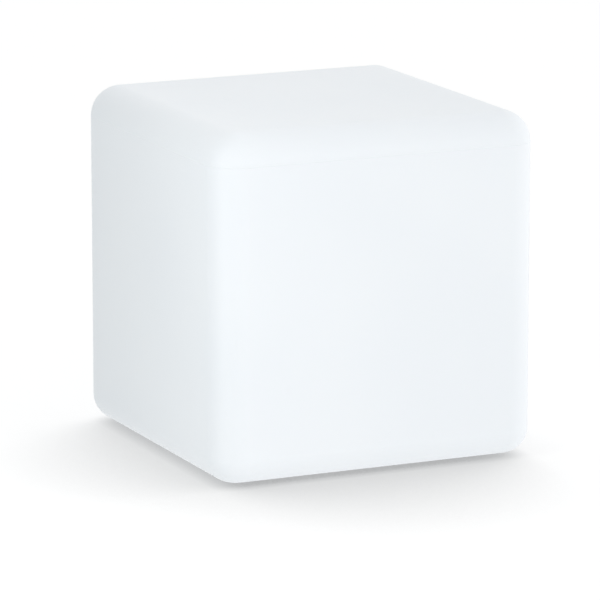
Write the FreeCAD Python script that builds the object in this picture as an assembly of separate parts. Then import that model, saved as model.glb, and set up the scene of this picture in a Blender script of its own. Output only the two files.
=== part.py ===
# Rechargeable cube light: a closed, rotationally moulded polyethylene cube that glows from a round
# lamp unit screwed up into its underside. Millimetres, +Z up. The origin is on the floor, under the
# centre of the cube, and the four rubber feet stand on it. -Y is the front face.
import FreeCAD
import Part

import math
import os

Vector = FreeCAD.Vector
UP = Vector(0, 0, 1)

# ---------------------------------------------------------------- cube shell
cube_width = 400.0
cube_depth = 400.0
cube_height = 400.0
edge_radius = 36.0          # upright edges and top edges
base_radius = 30.0          # edges round the underside
shell_wall = 3.0
parting_proud = 0.3         # raised line where the mould halves met, at the foot of the top rounding
parting_width = 0.9
recess_depth = 9.0          # round step in the underside that takes the lamp unit's flange
recess_lip = 3.0            # rounding at the mouth of that step

# ---------------------------------------------------------------- feet
foot_stand_off = 2.5        # how far the feet hold the cube off the floor
foot_pocket_depth = 2.0
foot_radius = 15.0
foot_inset = 60.0           # from the cube's side faces to the middle of a foot
foot_fit = 0.3
foot_edge = 1.0
foot_boss_radius = 6.0
foot_boss_height = 14.0
foot_screw_radius = 1.9
foot_screw_head_radius = 3.8
foot_screw_head_height = 2.4
foot_screw_length = 11.5
foot_head_depth = 3.2       # from the floor up to the seat of the screw head
foot_head_clearance = 0.8

# ---------------------------------------------------------------- lamp unit: tray
tub_radius = 72.0
tub_wall = 3.0
tub_height = 42.0
flange_thickness = 4.0
flange_rim = 8.0            # from the screw circle out to the flange's edge
flange_edge = 1.2
rim_lip_width = 3.0         # stiffening lip round the flange's underside
rim_lip_height = 1.0
recess_gap = 1.0            # all round, between the flange and the step in the shell
opening_gap = 0.8           # all round, between the dome's skirt and the hole in the shell

# flat gasket between flange and shell
seal_height = 2.0
seal_width = 5.0
seal_groove_depth = 1.0
seal_inset = 1.5            # from the hole in the shell to the gasket
seal_side_gap = 0.15

# screws and inserts that hold the lamp unit
unit_screw_count = 6
unit_screw_radius = 2.0
unit_screw_length = 10.0
unit_screw_head_radius = 3.6
unit_screw_head_height = 2.5
unit_counterbore = 2.2
unit_screw_play = 0.2
insert_radius = 3.5
insert_length = 8.0
insert_margin = 1.0         # from the gasket to the inserts
insert_wall = 3.5
insert_roof = 4.0           # polyethylene above the blind end of an insert

# ---------------------------------------------------------------- lamp unit: diffuser dome
dome_wall = 2.0
dome_fit = 0.2
dome_skirt = 9.0            # overlap of the skirt on the tub
dome_shoulder = 2.0
dome_side = 12.0            # upright side above the tub's rim
dome_rise = 18.0            # crown above the side
o_ring_cord = 1.7
o_ring_play = 0.05
o_ring_drop = 4.0           # below the tub's rim
snap_bead = 0.5
snap_drop = 7.4             # below the tub's rim

# ---------------------------------------------------------------- light board
light_board_gap = 3.0       # all round, inside the tub
light_board_thickness = 1.6
light_board_drop = 2.0      # post tops below the tub's rim
light_post_radius = 4.0
light_post_margin = 5.5     # from the board's edge to the middle of a post
light_post_count = 3
light_post_first_angle = 90.0
led_ring_count = 3
led_ring_margin = 17.0      # from the board's edge to the outer ring of lamps
led_ring_spacing = 17.5
inner_ring_lamp_count = 4  # and as many more in each ring outside it
led_size = 5.0
led_height = 1.6
led_lens_radius = 1.9
led_lens_depth = 0.4
lead_hole_radius = 3.0

# ---------------------------------------------------------------- control board
control_depth = 38.0
control_corner_gap = 4.6    # from the board's outer corners to the tub
control_thickness = 1.6
control_rear_gap = 22.0     # from the tub's inside to the board's rear edge
control_corner = 3.0
control_post_radius = 3.5
control_post_inset_x = 4.0
control_post_inset_y = 3.0
board_screw_radius = 1.3
board_screw_head_radius = 2.6
board_screw_head_height = 1.8
board_screw_length = 8.0
board_screw_play = 0.25
pilot_play = 0.03

# ---------------------------------------------------------------- battery pack
cell_radius = 9.2
cell_length = 65.0
cell_gap = 0.6
sleeve_gap = 0.1
sleeve_wall = 0.4
pack_corner_gap = 6.3       # from the pack's outer corners to the tub
pack_end_room = 3.0         # at each end of the cells, for tabs and protection board
tab_thickness = 0.3
tab_width = 8.0
protection_thickness = 1.4
pad_thickness = 1.5
pad_length = 36.0
saddle_x = 22.0
saddle_thickness = 2.5
saddle_margin = 3.0
saddle_share = 0.75         # of the cells' radius, how high the saddles reach
clamp_width = 12.0
clamp_thickness = 2.0
clamp_foot = 9.0
clamp_post_radius = 3.5
pack_fit = 0.15

# ---------------------------------------------------------------- control panel on the underside
panel_shift = 2.0           # from the control board's middle forward to the row of controls
panel_half_length = 46.0
panel_half_width = 17.0
panel_depth = 1.2

# push button
button_post_gap = 12.03     # from the control board's left posts to the button's middle
button_radius = 8.5
button_fit = 0.3
button_proud = 0.8          # beyond the panel's face
button_travel = 1.5
button_edge = 0.8
button_guide = 3.5          # guide above the tray's floor
button_lip = 2.4
button_lip_thickness = 1.2
button_rest_gap = 0.2
button_seal_cord = 1.4
button_seal_rise = 3.1      # from the button's face to the ring's groove
collar_wall = 1.8
spring_room = 4.6
spring_wire = 0.6
spring_radius = 6.5
spring_turns = 3.5          # in quarter turns
spring_end_gap = 0.1
stem_radius = 3.0
stem_rise = 3.0             # above the spring chamber
stem_play = 0.3
retainer_thickness = 1.5
retainer_skirt = 3.5
retainer_wall = 1.2
retainer_fit = 0.15

# switch under the control board
switch_size = 8.5
switch_plunger_radius = 1.75
switch_plunger_play = 0.15
switch_gap = 0.5            # between the pressed stem and the switch
switch_height = 6.0
switch_roof = 2.3

# charging socket
socket_x = 10.0
socket_bore_radius = 2.85
socket_bore_depth = 12.0
socket_flange_radius = 7.0
socket_flange_thickness = 1.5
socket_barrel_radius = 5.4
socket_length = 17.0
socket_fit = 0.05
socket_nut_flats = 14.0
socket_nut_thickness = 2.5
contact_pin_radius = 1.05
contact_pin_recess = 3.5
contact_tail = 3.0
contact_tab_offset = 3.8
contact_tab_thickness = 0.5
contact_tab_width = 2.2

# rubber cap over the charging socket
cap_radius = 8.5
cap_thickness = 1.8
cap_edge = 0.6
cap_seat_gap = 0.1
plug_depth = 3.0
plug_radius = 2.65
plug_tip_radius = 2.15
strap_width = 5.0
strap_thickness = 1.2
anchor_x = 32.0
anchor_radius = 4.5
anchor_stud_radius = 2.4
anchor_head_radius = 3.4
anchor_head_height = 1.6
anchor_edge = 1.2           # bevel that lets the strap fold past the anchor
hinge_gap = 0.4

# charge indicator
light_pipe_x = -9.0
light_pipe_radius = 1.5
light_pipe_flange_radius = 2.6
light_pipe_flange_height = 1.2
light_pipe_fit = 0.05
light_pipe_proud = 0.3
indicator_gap = 0.3
indicator_size = (3.0, 1.6, 0.9)

# ---------------------------------------------------------------- connectors and leads
socket_box = (7.5, 5.8, 6.0)      # white header on the control board
plug_box = (6.3, 4.4, 7.0)        # plug in the header
plug_insertion = 4.5
header_wall = 0.5
lead_radius = 0.65
lead_pitch = 2.5
lead_play = 0.1
battery_plug_inset = (8.0, 23.0)  # from the control board's right and rear edges
charge_plug_inset = (24.0, 30.0)
light_plug_inset = (64.0, 9.0)

# what stands on the control board: width, depth, height and place from its middle
controller_size = (10.0, 6.0, 1.7)
controller_place = (-4.0, -6.0)
charger_size = (5.0, 4.0, 1.5)
charger_place = (6.0, 8.0)
coil_size = (10.0, 10.0, 4.5)
coil_corner = 2.0
coil_place = (-18.0, -6.0)
tall_capacitor = (4.0, 10.0)      # radius and height
tall_capacitor_place = (22.0, 10.0)
short_capacitor = (3.2, 8.0)
short_capacitor_place = (12.0, -4.0)

# ---------------------------------------------------------------- levels and places worked out
shell_bottom = foot_stand_off
shell_top = shell_bottom + cube_height
parting_level = shell_top - edge_radius
recess_ceiling = shell_bottom + recess_depth
flange_top = recess_ceiling - (seal_height - seal_groove_depth)
flange_bottom = flange_top - flange_thickness
tub_inner = tub_radius - tub_wall
control_rear = tub_inner - control_rear_gap
control_y = control_rear - control_depth / 2
panel_y = control_y - panel_shift
control_width = 2 * math.sqrt((tub_inner - control_corner_gap) ** 2 - control_rear ** 2)
tub_top = flange_top + tub_height
dome_inner_skirt = tub_radius + dome_fit
dome_outer_skirt = dome_inner_skirt + dome_wall
opening_radius = dome_outer_skirt + opening_gap
seal_inner = opening_radius + seal_inset
seal_outer = seal_inner + seal_width
screw_circle = seal_outer + insert_margin + insert_radius
flange_radius = screw_circle + flange_rim
recess_radius = flange_radius + recess_gap
foot_pocket_radius = foot_radius + foot_fit
foot_pocket_ceiling = shell_bottom + foot_pocket_depth
foot_places = [(side * (cube_width / 2 - foot_inset), end * (cube_depth / 2 - foot_inset))
               for end in (-1, 1) for side in (-1, 1)]
foot_names = ["foot_front_left", "foot_front_right", "foot_rear_left", "foot_rear_right"]
unit_screw_places = [(screw_circle * math.cos(2 * math.pi * (k + 0.5) / unit_screw_count),
                      screw_circle * math.sin(2 * math.pi * (k + 0.5) / unit_screw_count))
                     for k in range(unit_screw_count)]

panel_face = flange_bottom + panel_depth
button_face = panel_face - button_proud
guide_top = flange_top + button_guide
lip_radius = button_radius + button_lip
lip_bottom = guide_top + button_rest_gap
lip_top = lip_bottom + button_lip_thickness
collar_inner = lip_radius + button_fit
collar_outer = collar_inner + collar_wall
collar_top = lip_top + spring_room
retainer_top = collar_top + retainer_thickness
stem_top = retainer_top + stem_rise - button_travel
switch_bottom = stem_top + button_travel + switch_gap
control_bottom = switch_bottom + switch_height
control_top = control_bottom + control_thickness
control_post_x = control_width / 2 - control_post_inset_x
button_x = button_post_gap - control_post_x
control_posts = [(side * control_post_x,
                  control_y + end * (control_depth / 2 - control_post_inset_y))
                 for side in (-1, 1) for end in (-1, 1)]

light_board_radius = tub_inner - light_board_gap
light_post_circle = light_board_radius - light_post_margin
light_board_bottom = tub_top - light_board_drop
light_board_top = light_board_bottom + light_board_thickness
light_post_angles = [math.radians(light_post_first_angle + 360.0 * k / light_post_count)
                     for k in range(light_post_count)]
light_posts = [(light_post_circle * math.cos(a), light_post_circle * math.sin(a)) for a in light_post_angles]

cell_pitch = 2 * cell_radius + cell_gap
sleeve_inner = cell_radius + sleeve_gap
sleeve_outer = sleeve_inner + sleeve_wall
pack_half_length = cell_length / 2 + pack_end_room
pack_y = (cell_pitch / 2 + sleeve_outer
          - math.sqrt((tub_inner - pack_corner_gap) ** 2 - pack_half_length ** 2))
cell_rows = [pack_y - cell_pitch / 2, pack_y + cell_pitch / 2]
pack_level = flange_top + pad_thickness + sleeve_outer
clamp_inner = sleeve_outer + pack_fit
clamp_foot_level = pack_level
clamp_posts = [(0, pack_y - cell_pitch / 2 - clamp_inner - clamp_foot / 2),
               (0, pack_y + cell_pitch / 2 + clamp_inner + clamp_foot / 2)]

socket_mouth = panel_face - socket_flange_thickness
socket_back = panel_face + socket_length
cap_top = socket_mouth - cap_seat_gap
cap_bottom = cap_top - cap_thickness
strap_level = cap_bottom + strap_thickness / 2 + 0.2 * strap_thickness
hinge_x = anchor_x - anchor_radius - hinge_gap - strap_thickness / 2

plug_level = control_top + header_wall + 0.5
plug_top = plug_level + plug_box[2]
battery_plug_place, charge_plug_place, light_plug_place = [
    (control_width / 2 - right, control_rear - rear)
    for right, rear in (battery_plug_inset, charge_plug_inset, light_plug_inset)]


# ---------------------------------------------------------------- plain shapes
def cylinder(radius, bottom, top, x=0.0, y=0.0):
    return Part.makeCylinder(radius, top - bottom, Vector(x, y, bottom))


def ring(outer, inner, bottom, top, x=0.0, y=0.0):
    return cylinder(outer, bottom, top, x, y).cut(cylinder(inner, bottom - 1, top + 1, x, y))


def block(width, depth, bottom, top, x=0.0, y=0.0):
    return Part.makeBox(width, depth, top - bottom, Vector(x - width / 2, y - depth / 2, bottom))


def fused(shapes):
    return shapes[0].multiFuse(shapes[1:]).removeSplitter() if len(shapes) > 1 else shapes[0]


def turned(points):
    # solid of revolution about Z from (radius, height) points
    edges = Part.makePolygon([Vector(r, 0, z) for r, z in points + points[:1]])
    return Part.Face(edges).revolve(Vector(0, 0, 0), UP, 360)


def rounded_plate(width, depth, radius, bottom, top):
    plate = block(width, depth, bottom, top)
    uprights = [e for e in plate.Edges if e.BoundBox.ZLength > (top - bottom) / 2]
    return plate.makeFillet(radius, uprights)


def cube_form(inset):
    # the cube, or what lies a given distance inside it: round upright and top edges, and its own
    # radius round the underside
    width, depth, height = cube_width - 2 * inset, cube_depth - 2 * inset, cube_height - 2 * inset
    edge, base, bottom = edge_radius - inset, base_radius - inset, shell_bottom + inset
    box = block(width, depth, bottom, bottom + height)
    uprights = [e for e in box.Edges if e.BoundBox.ZLength > height / 2]
    top_edges = [e for e in box.Edges if e.BoundBox.ZMin > bottom + height / 2]
    box = box.makeFillet(edge, uprights + top_edges)
    under_edges = [e for e in box.Edges if e.BoundBox.ZMax < bottom + 1e-4]
    return box.makeFillet(base, under_edges)


def stadium_upright(half_length, half_width, bottom, top, y):
    # long round-ended plate lying along X
    reach = half_length - half_width
    body = block(2 * reach, 2 * half_width, bottom, top, 0, y)
    ends = [cylinder(half_width, bottom, top, side * reach, y) for side in (-1, 1)]
    return fused([body] + ends)


def stadium_along_x(radius, x_low, x_high):
    # envelope of the pair of cells: two rounds and the flat between them
    length = x_high - x_low
    rounds = [Part.makeCylinder(radius, length, Vector(x_low, y, pack_level), Vector(1, 0, 0))
              for y in cell_rows]
    middle = Part.makeBox(length, cell_pitch, 2 * radius, Vector(x_low, cell_rows[0], pack_level - radius))
    return fused([middle] + rounds)


def circle_edges(shape, radius, level):
    # the whole or part circles of one radius that lie flat at one level
    flat = [e for e in shape.Edges if not e.Degenerated
            and abs(e.BoundBox.ZMin - level) < 1e-3 and abs(e.BoundBox.ZMax - level) < 1e-3]
    return [e for e in flat if isinstance(e.Curve, Part.Circle) and abs(e.Curve.Radius - radius) < 1e-4]


def screw(radius, head_radius, head_height, length, seat, x, y, head_down):
    # pan-head screw whose head bears at height seat, with its shank on the other side
    way = 1 if head_down else -1
    head = Part.makeCylinder(head_radius, head_height, Vector(x, y, seat), Vector(0, 0, -way))
    rim = seat - way * head_height
    head = head.makeFillet(head_height * 0.35, circle_edges(head, head_radius, rim))
    shank = Part.makeCylinder(radius, length, Vector(x, y, seat), Vector(0, 0, way))
    tip = seat + way * length
    shank = shank.makeChamfer(radius * 0.25, circle_edges(shank, radius, tip))
    slot_width = head_radius * 0.28
    slot_low, slot_high = sorted((rim, rim + way * head_height * 0.55))
    slots = [block(a, b, slot_low, slot_high, x, y)
             for a, b in ((head_radius * 1.1, slot_width), (slot_width, head_radius * 1.1))]
    return head.fuse(shank).removeSplitter().cut(fused(slots))


def arc_round(start, corner, end):
    # arc that leaves start along the first leg and reaches end along the second, both legs equal
    back = start - corner
    ahead = end - corner
    leg = back.Length
    half_angle = back.getAngle(ahead) / 2
    bisector = back + ahead
    bisector.normalize()
    crest = leg / math.cos(half_angle) - leg * math.tan(half_angle)
    return Part.Arc(start, corner + bisector * crest, end).toShape()


def swept_wire(edges, radius):
    # round wire of one radius along edges that run on smoothly from each other
    start = edges[0].valueAt(edges[0].FirstParameter)
    along = edges[0].tangentAt(edges[0].FirstParameter)
    profile = Part.Wire(Part.makeCircle(radius, start, along))
    return Part.Wire(edges).makePipeShell([profile], True, False)


def wire_lead(points):
    # lead along straight runs joined by tangent arcs, each nearly as large as its runs allow
    route = [Vector(*p) for p in points]
    edges = []
    start = route[0]
    for before, corner, after in zip(route, route[1:], route[2:]):
        back = before - corner
        ahead = after - corner
        reach = 0.45 * min(back.Length, ahead.Length)
        back.normalize()
        ahead.normalize()
        turn_start = corner + back * reach
        turn_end = corner + ahead * reach
        edges.append(Part.LineSegment(start, turn_start).toShape())
        edges.append(arc_round(turn_start, corner, turn_end))
        start = turn_end
    edges.append(Part.LineSegment(start, route[-1]).toShape())
    return swept_wire(edges, lead_radius)


# ---------------------------------------------------------------- cube shell and what is moulded in
def shell():
    bead_low = parting_level - parting_width / 2
    bead_high = parting_level + parting_width / 2
    bead = rounded_plate(cube_width + 2 * parting_proud, cube_depth + 2 * parting_proud,
                         edge_radius + parting_proud, bead_low, bead_high)
    bead = bead.cut(rounded_plate(cube_width - shell_wall, cube_depth - shell_wall,
                                  edge_radius - shell_wall / 2, bead_low - 1, bead_high + 1))
    body = cube_form(0).fuse(bead).cut(cube_form(shell_wall))
    plateau = cylinder(recess_radius + shell_wall, shell_bottom + shell_wall / 2, recess_ceiling + shell_wall)
    boss_top = recess_ceiling + insert_length + insert_roof
    bosses = [cylinder(insert_radius + insert_wall, recess_ceiling, boss_top, x, y)
              for x, y in unit_screw_places]
    pads = [cylinder(foot_pocket_radius + shell_wall, shell_bottom + shell_wall / 2,
                     foot_pocket_ceiling + shell_wall, x, y) for x, y in foot_places]
    foot_boss_top = foot_pocket_ceiling + foot_boss_height
    foot_bosses = [cylinder(foot_boss_radius, foot_pocket_ceiling, foot_boss_top, x, y)
                   for x, y in foot_places]
    body = fused([body, plateau] + bosses + pads + foot_bosses)
    cuts = [cylinder(recess_radius, shell_bottom - 1, recess_ceiling),
            cylinder(opening_radius, recess_ceiling - 1, recess_ceiling + shell_wall + 1)]
    cuts += [cylinder(insert_radius, recess_ceiling - 1, recess_ceiling + insert_length, x, y)
             for x, y in unit_screw_places]
    hole_top = recess_ceiling + unit_screw_length + 1
    cuts += [cylinder(unit_screw_radius + unit_screw_play, recess_ceiling, hole_top, x, y)
             for x, y in unit_screw_places]
    cuts += [cylinder(foot_pocket_radius, shell_bottom - 1, foot_pocket_ceiling, x, y)
             for x, y in foot_places]
    cuts += [cylinder(foot_screw_radius + pilot_play, foot_pocket_ceiling - 1,
                      foot_head_depth + foot_screw_length + 0.5, x, y) for x, y in foot_places]
    for cut in cuts:
        body = body.cut(cut)
    return body.makeFillet(recess_lip, circle_edges(body, recess_radius, shell_bottom))


def threaded_inserts():
    solids = []
    for x, y in unit_screw_places:
        solids.append(ring(insert_radius - pilot_play, unit_screw_radius + pilot_play,
                           recess_ceiling, recess_ceiling + insert_length, x, y))
    return solids


# ---------------------------------------------------------------- feet
def foot(x, y):
    pad = cylinder(foot_radius, 0, foot_pocket_ceiling, x, y)
    pad = pad.makeFillet(foot_edge, circle_edges(pad, foot_radius, 0))
    pad = pad.cut(cylinder(foot_screw_head_radius + foot_head_clearance, -1, foot_head_depth, x, y))
    return pad.cut(cylinder(foot_screw_radius + board_screw_play, 0, foot_pocket_ceiling + 1, x, y))


def foot_screws():
    return [screw(foot_screw_radius, foot_screw_head_radius, foot_screw_head_height, foot_screw_length,
                  foot_head_depth, x, y, True) for x, y in foot_places]


# ---------------------------------------------------------------- tray of the lamp unit
def tray_floor():
    plate = cylinder(flange_radius, flange_bottom, flange_top)
    plate = plate.makeFillet(flange_edge, circle_edges(plate, flange_radius, flange_top))
    lip = ring(flange_radius, flange_radius - rim_lip_width, flange_bottom - rim_lip_height, flange_bottom)
    wall = ring(tub_radius, tub_inner, flange_top - 1, tub_top)
    snap_level = tub_top - snap_drop
    bead = turned([(tub_radius - 1, snap_level - 1 - snap_bead), (tub_radius, snap_level - snap_bead),
                   (tub_radius + snap_bead, snap_level), (tub_radius, snap_level + snap_bead),
                   (tub_radius - 1, snap_level + 1 + snap_bead)])
    groove_level = tub_top - o_ring_drop
    groove_depth = o_ring_cord - dome_fit + 2 * o_ring_play
    groove = ring(tub_radius + 1, tub_radius - groove_depth,
                  groove_level - o_ring_cord * 0.6, groove_level + o_ring_cord * 0.6)
    seal_groove = ring(seal_outer + seal_side_gap, seal_inner - seal_side_gap,
                       flange_top - seal_groove_depth, flange_top + 1)
    return fused([plate, lip, wall, bead]).cut(fused([groove, seal_groove]))


def saddle(side):
    low = cell_rows[0] - sleeve_outer - saddle_margin
    high = cell_rows[1] + sleeve_outer + saddle_margin
    top = pack_level - sleeve_outer * (1 - saddle_share)
    rib = block(saddle_thickness, high - low, flange_top - 1, top, side * saddle_x, (low + high) / 2)
    return rib.cut(stadium_along_x(sleeve_outer + pack_fit, -pack_half_length, pack_half_length))


def base_tray():
    collar = ring(collar_outer, collar_inner, flange_top - 1, collar_top, button_x, panel_y)
    guide = ring(collar_outer, button_radius + button_fit, flange_top - 1, guide_top, button_x, panel_y)
    posts = [cylinder(control_post_radius, flange_top - 1, control_bottom, x, y) for x, y in control_posts]
    posts += [cylinder(light_post_radius, flange_top - 1, light_board_bottom, x, y) for x, y in light_posts]
    posts += [cylinder(clamp_post_radius, flange_top - 1, clamp_foot_level, x, y) for x, y in clamp_posts]
    body = fused([tray_floor(), collar, guide, saddle(-1), saddle(1)] + posts)
    pilot = board_screw_radius + pilot_play
    cuts = [stadium_upright(panel_half_length, panel_half_width, flange_bottom - 1, panel_face, panel_y)]
    cuts += [cylinder(button_radius + button_fit, flange_bottom - 1, guide_top, button_x, panel_y)]
    for radius, x in ((socket_barrel_radius + socket_fit, socket_x),
                      (light_pipe_radius + light_pipe_fit, light_pipe_x),
                      (anchor_stud_radius + socket_fit, anchor_x)):
        cuts.append(cylinder(radius, flange_bottom, flange_top + 1, x, panel_y))
    for x, y in unit_screw_places:
        cuts.append(cylinder(unit_screw_radius + unit_screw_play, flange_bottom - 1, flange_top + 1, x, y))
        cuts.append(cylinder(unit_screw_head_radius + foot_head_clearance, flange_bottom - rim_lip_height - 1,
                             flange_bottom + unit_counterbore, x, y))
    for places, level in ((control_posts, control_bottom), (light_posts, light_board_bottom),
                          (clamp_posts, clamp_foot_level)):
        cuts += [cylinder(pilot, level - board_screw_length, level + 1, x, y) for x, y in places]
    for cut in cuts:
        body = body.cut(cut)
    return body


def base_seal():
    return ring(seal_outer, seal_inner, recess_ceiling - seal_height, recess_ceiling)


def unit_screws():
    return [screw(unit_screw_radius, unit_screw_head_radius, unit_screw_head_height, unit_screw_length,
                  flange_bottom + unit_counterbore, x, y, True) for x, y in unit_screw_places]


# ---------------------------------------------------------------- diffuser dome
def dome_crown(radius, side_top, crown_top):
    # shallow crown above an upright side, as a solid down to side_top
    rise = crown_top - side_top
    sphere = (radius * radius + rise * rise) / (2 * rise)
    return Part.makeSphere(sphere, Vector(0, 0, crown_top - sphere)).common(
        cylinder(radius, side_top, crown_top + 1))


def diffuser_dome():
    seat = tub_top + dome_fit
    side_top = seat + dome_side
    outer_radius = tub_radius
    inner_radius = outer_radius - dome_wall
    skirt = ring(dome_outer_skirt, dome_inner_skirt, tub_top - dome_skirt, seat + dome_shoulder)
    crown = dome_crown(outer_radius, side_top, side_top + dome_rise)
    wall = cylinder(outer_radius, seat, side_top).fuse(crown)
    shoulder = cylinder(dome_outer_skirt, seat, seat + dome_shoulder)
    hollow = cylinder(inner_radius, seat - 1, side_top).fuse(
        dome_crown(inner_radius, side_top, side_top + dome_rise - dome_wall))
    snap_level = tub_top - snap_drop
    reach = snap_bead + 2 * dome_fit
    snap_groove = turned([(tub_radius, snap_level - reach), (tub_radius + reach, snap_level),
                          (tub_radius, snap_level + reach)])
    return fused([skirt, wall, shoulder]).cut(hollow).cut(snap_groove)


def dome_seal():
    ring_radius = tub_radius + dome_fit - o_ring_play - o_ring_cord / 2
    return Part.makeTorus(ring_radius, o_ring_cord / 2, Vector(0, 0, tub_top - o_ring_drop))


# ---------------------------------------------------------------- light board
def light_board():
    board = cylinder(light_board_radius, light_board_bottom, light_board_top)
    low, high = light_board_bottom - 1, light_board_top + 1
    holes = [cylinder(board_screw_radius + board_screw_play, low, high, x, y) for x, y in light_posts]
    holes.append(cylinder(lead_hole_radius, low, high, *light_plug_place))
    return board.cut(fused(holes))


def leds():
    solids = []
    top = light_board_top + led_height
    for ring_number in range(led_ring_count):
        radius = light_board_radius - led_ring_margin - ring_number * led_ring_spacing
        count = inner_ring_lamp_count * (led_ring_count - ring_number)
        for k in range(count):
            angle = 2 * math.pi * k / count
            x = radius * math.cos(angle)
            y = radius * math.sin(angle)
            lamp = block(led_size, led_size, light_board_top, top, x, y)
            lamp = lamp.cut(cylinder(led_lens_radius, top - led_lens_depth, top + 1, x, y))
            lamp.rotate(Vector(x, y, 0), UP, math.degrees(angle))
            solids.append(lamp)
    return solids


def light_board_screws():
    return [screw(board_screw_radius, board_screw_head_radius, board_screw_head_height,
                  board_screw_length - 0.5 + light_board_thickness, light_board_top, x, y, False)
            for x, y in light_posts]


# ---------------------------------------------------------------- control board and what is on it
def control_board():
    board = block(control_width, control_depth, control_bottom, control_top, 0, control_y)
    uprights = [e for e in board.Edges if e.BoundBox.ZLength > control_thickness / 2]
    board = board.makeFillet(control_corner, uprights)
    holes = [cylinder(board_screw_radius + board_screw_play, control_bottom - 1, control_top + 1, x, y)
             for x, y in control_posts]
    return board.cut(fused(holes))


def control_screws():
    return [screw(board_screw_radius, board_screw_head_radius, board_screw_head_height,
                  board_screw_length - 0.5 + control_thickness, control_top, x, y, False)
            for x, y in control_posts]


def on_control_board(size, place):
    return block(size[0], size[1], control_top, control_top + size[2], place[0], control_y + place[1])


def driver_chips():
    return [on_control_board(controller_size, controller_place), on_control_board(charger_size, charger_place)]


def coil_and_capacitors():
    coil = on_control_board(coil_size, coil_place)
    coil = coil.makeFillet(coil_corner, [e for e in coil.Edges if e.BoundBox.ZLength > coil_size[2] / 2])
    cans = [cylinder(radius, control_top, control_top + height, place[0], control_y + place[1])
            for (radius, height), place in ((tall_capacitor, tall_capacitor_place),
                                            (short_capacitor, short_capacitor_place))]
    return [coil] + cans


def header(place):
    width, depth, height = socket_box
    box = block(width, depth, control_top, control_top + height, *place)
    return box.cut(block(width - 2 * header_wall, depth - 2 * header_wall,
                         control_top + header_wall, control_top + height + 1, *place))


def plug(place):
    return block(plug_box[0], plug_box[1], plug_level, plug_top, *place)


def board_headers():
    return [header(place) for place in (battery_plug_place, charge_plug_place, light_plug_place)]


def switch_body():
    body = block(switch_size, switch_size, switch_bottom, control_bottom, button_x, panel_y)
    return body.cut(cylinder(switch_plunger_radius + switch_plunger_play, switch_bottom - 1,
                             control_bottom - switch_roof, button_x, panel_y))


def indicator_led():
    width, depth, height = indicator_size
    return block(width, depth, control_bottom - height, control_bottom, light_pipe_x, panel_y)


# ---------------------------------------------------------------- battery pack
def battery_cells():
    cells = []
    for y in cell_rows:
        start = Vector(-cell_length / 2, y, pack_level)
        cell = Part.makeCylinder(cell_radius, cell_length, start, Vector(1, 0, 0))
        cells.append(cell.makeFillet(0.8, [e for e in cell.Edges if isinstance(e.Curve, Part.Circle)]))
    return cells


def battery_sleeve():
    outer = stadium_along_x(sleeve_outer, -pack_half_length, pack_half_length)
    inner = stadium_along_x(sleeve_inner, -pack_half_length + sleeve_wall, pack_half_length - sleeve_wall)
    sleeve = outer.cut(inner)
    for y in battery_lead_rows():
        start = Vector(pack_half_length - 2 * sleeve_wall, y, pack_level)
        sleeve = sleeve.cut(Part.makeCylinder(lead_radius + lead_play, 4 * sleeve_wall, start, Vector(1, 0, 0)))
    return sleeve


def battery_tabs():
    half = cell_length / 2
    return [Part.makeBox(tab_thickness, cell_pitch + tab_width, tab_width,
                         Vector(x, cell_rows[0] - tab_width / 2, pack_level - tab_width / 2))
            for x in (-half - tab_thickness, half)]


def protection_board():
    start = cell_length / 2 + tab_thickness
    return Part.makeBox(protection_thickness, cell_pitch + tab_width, 2 * tab_width,
                        Vector(start, cell_rows[0] - tab_width / 2, pack_level - tab_width))


def battery_pad():
    return block(pad_length, cell_pitch, flange_top, flange_top + pad_thickness, 0, pack_y)


def battery_clamp():
    outer = stadium_along_x(clamp_inner + clamp_thickness, -clamp_width / 2, clamp_width / 2)
    lower_half = block(clamp_width + 2, 2 * tub_radius, pack_level - tub_radius, pack_level)
    foot_top = clamp_foot_level + clamp_thickness
    feet = [block(clamp_width, clamp_foot + 2 * clamp_thickness, clamp_foot_level, foot_top,
                  0, y + math.copysign(clamp_thickness, pack_y - y)) for _, y in clamp_posts]
    arch = fused([outer.cut(lower_half)] + feet).cut(stadium_along_x(clamp_inner, -clamp_width, clamp_width))
    for x, y in clamp_posts:
        hole = cylinder(board_screw_radius + board_screw_play, clamp_foot_level - 1, foot_top + 1, x, y)
        arch = arch.cut(hole)
    return arch


def clamp_screws():
    return [screw(board_screw_radius, board_screw_head_radius, board_screw_head_height,
                  board_screw_length - 0.5 + clamp_thickness, clamp_foot_level + clamp_thickness, x, y, False)
            for x, y in clamp_posts]


# ---------------------------------------------------------------- push button
def power_button():
    cap = cylinder(button_radius, button_face, lip_top, button_x, panel_y)
    cap = cap.makeFillet(button_edge, circle_edges(cap, button_radius, button_face))
    lip = cylinder(lip_radius, lip_bottom, lip_top, button_x, panel_y)
    stem = cylinder(stem_radius, lip_top, stem_top, button_x, panel_y)
    groove_low = button_face + button_seal_rise
    groove = ring(button_radius + 1, button_radius + button_fit - button_seal_cord,
                  groove_low, groove_low + button_seal_cord * 1.15, button_x, panel_y)
    return fused([cap, lip, stem]).cut(groove)


def button_seal():
    level = button_face + button_seal_rise + button_seal_cord * 1.15 / 2
    ring_radius = button_radius + button_fit - button_seal_cord / 2
    return Part.makeTorus(ring_radius, button_seal_cord / 2 - o_ring_play, Vector(button_x, panel_y, level))


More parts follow.
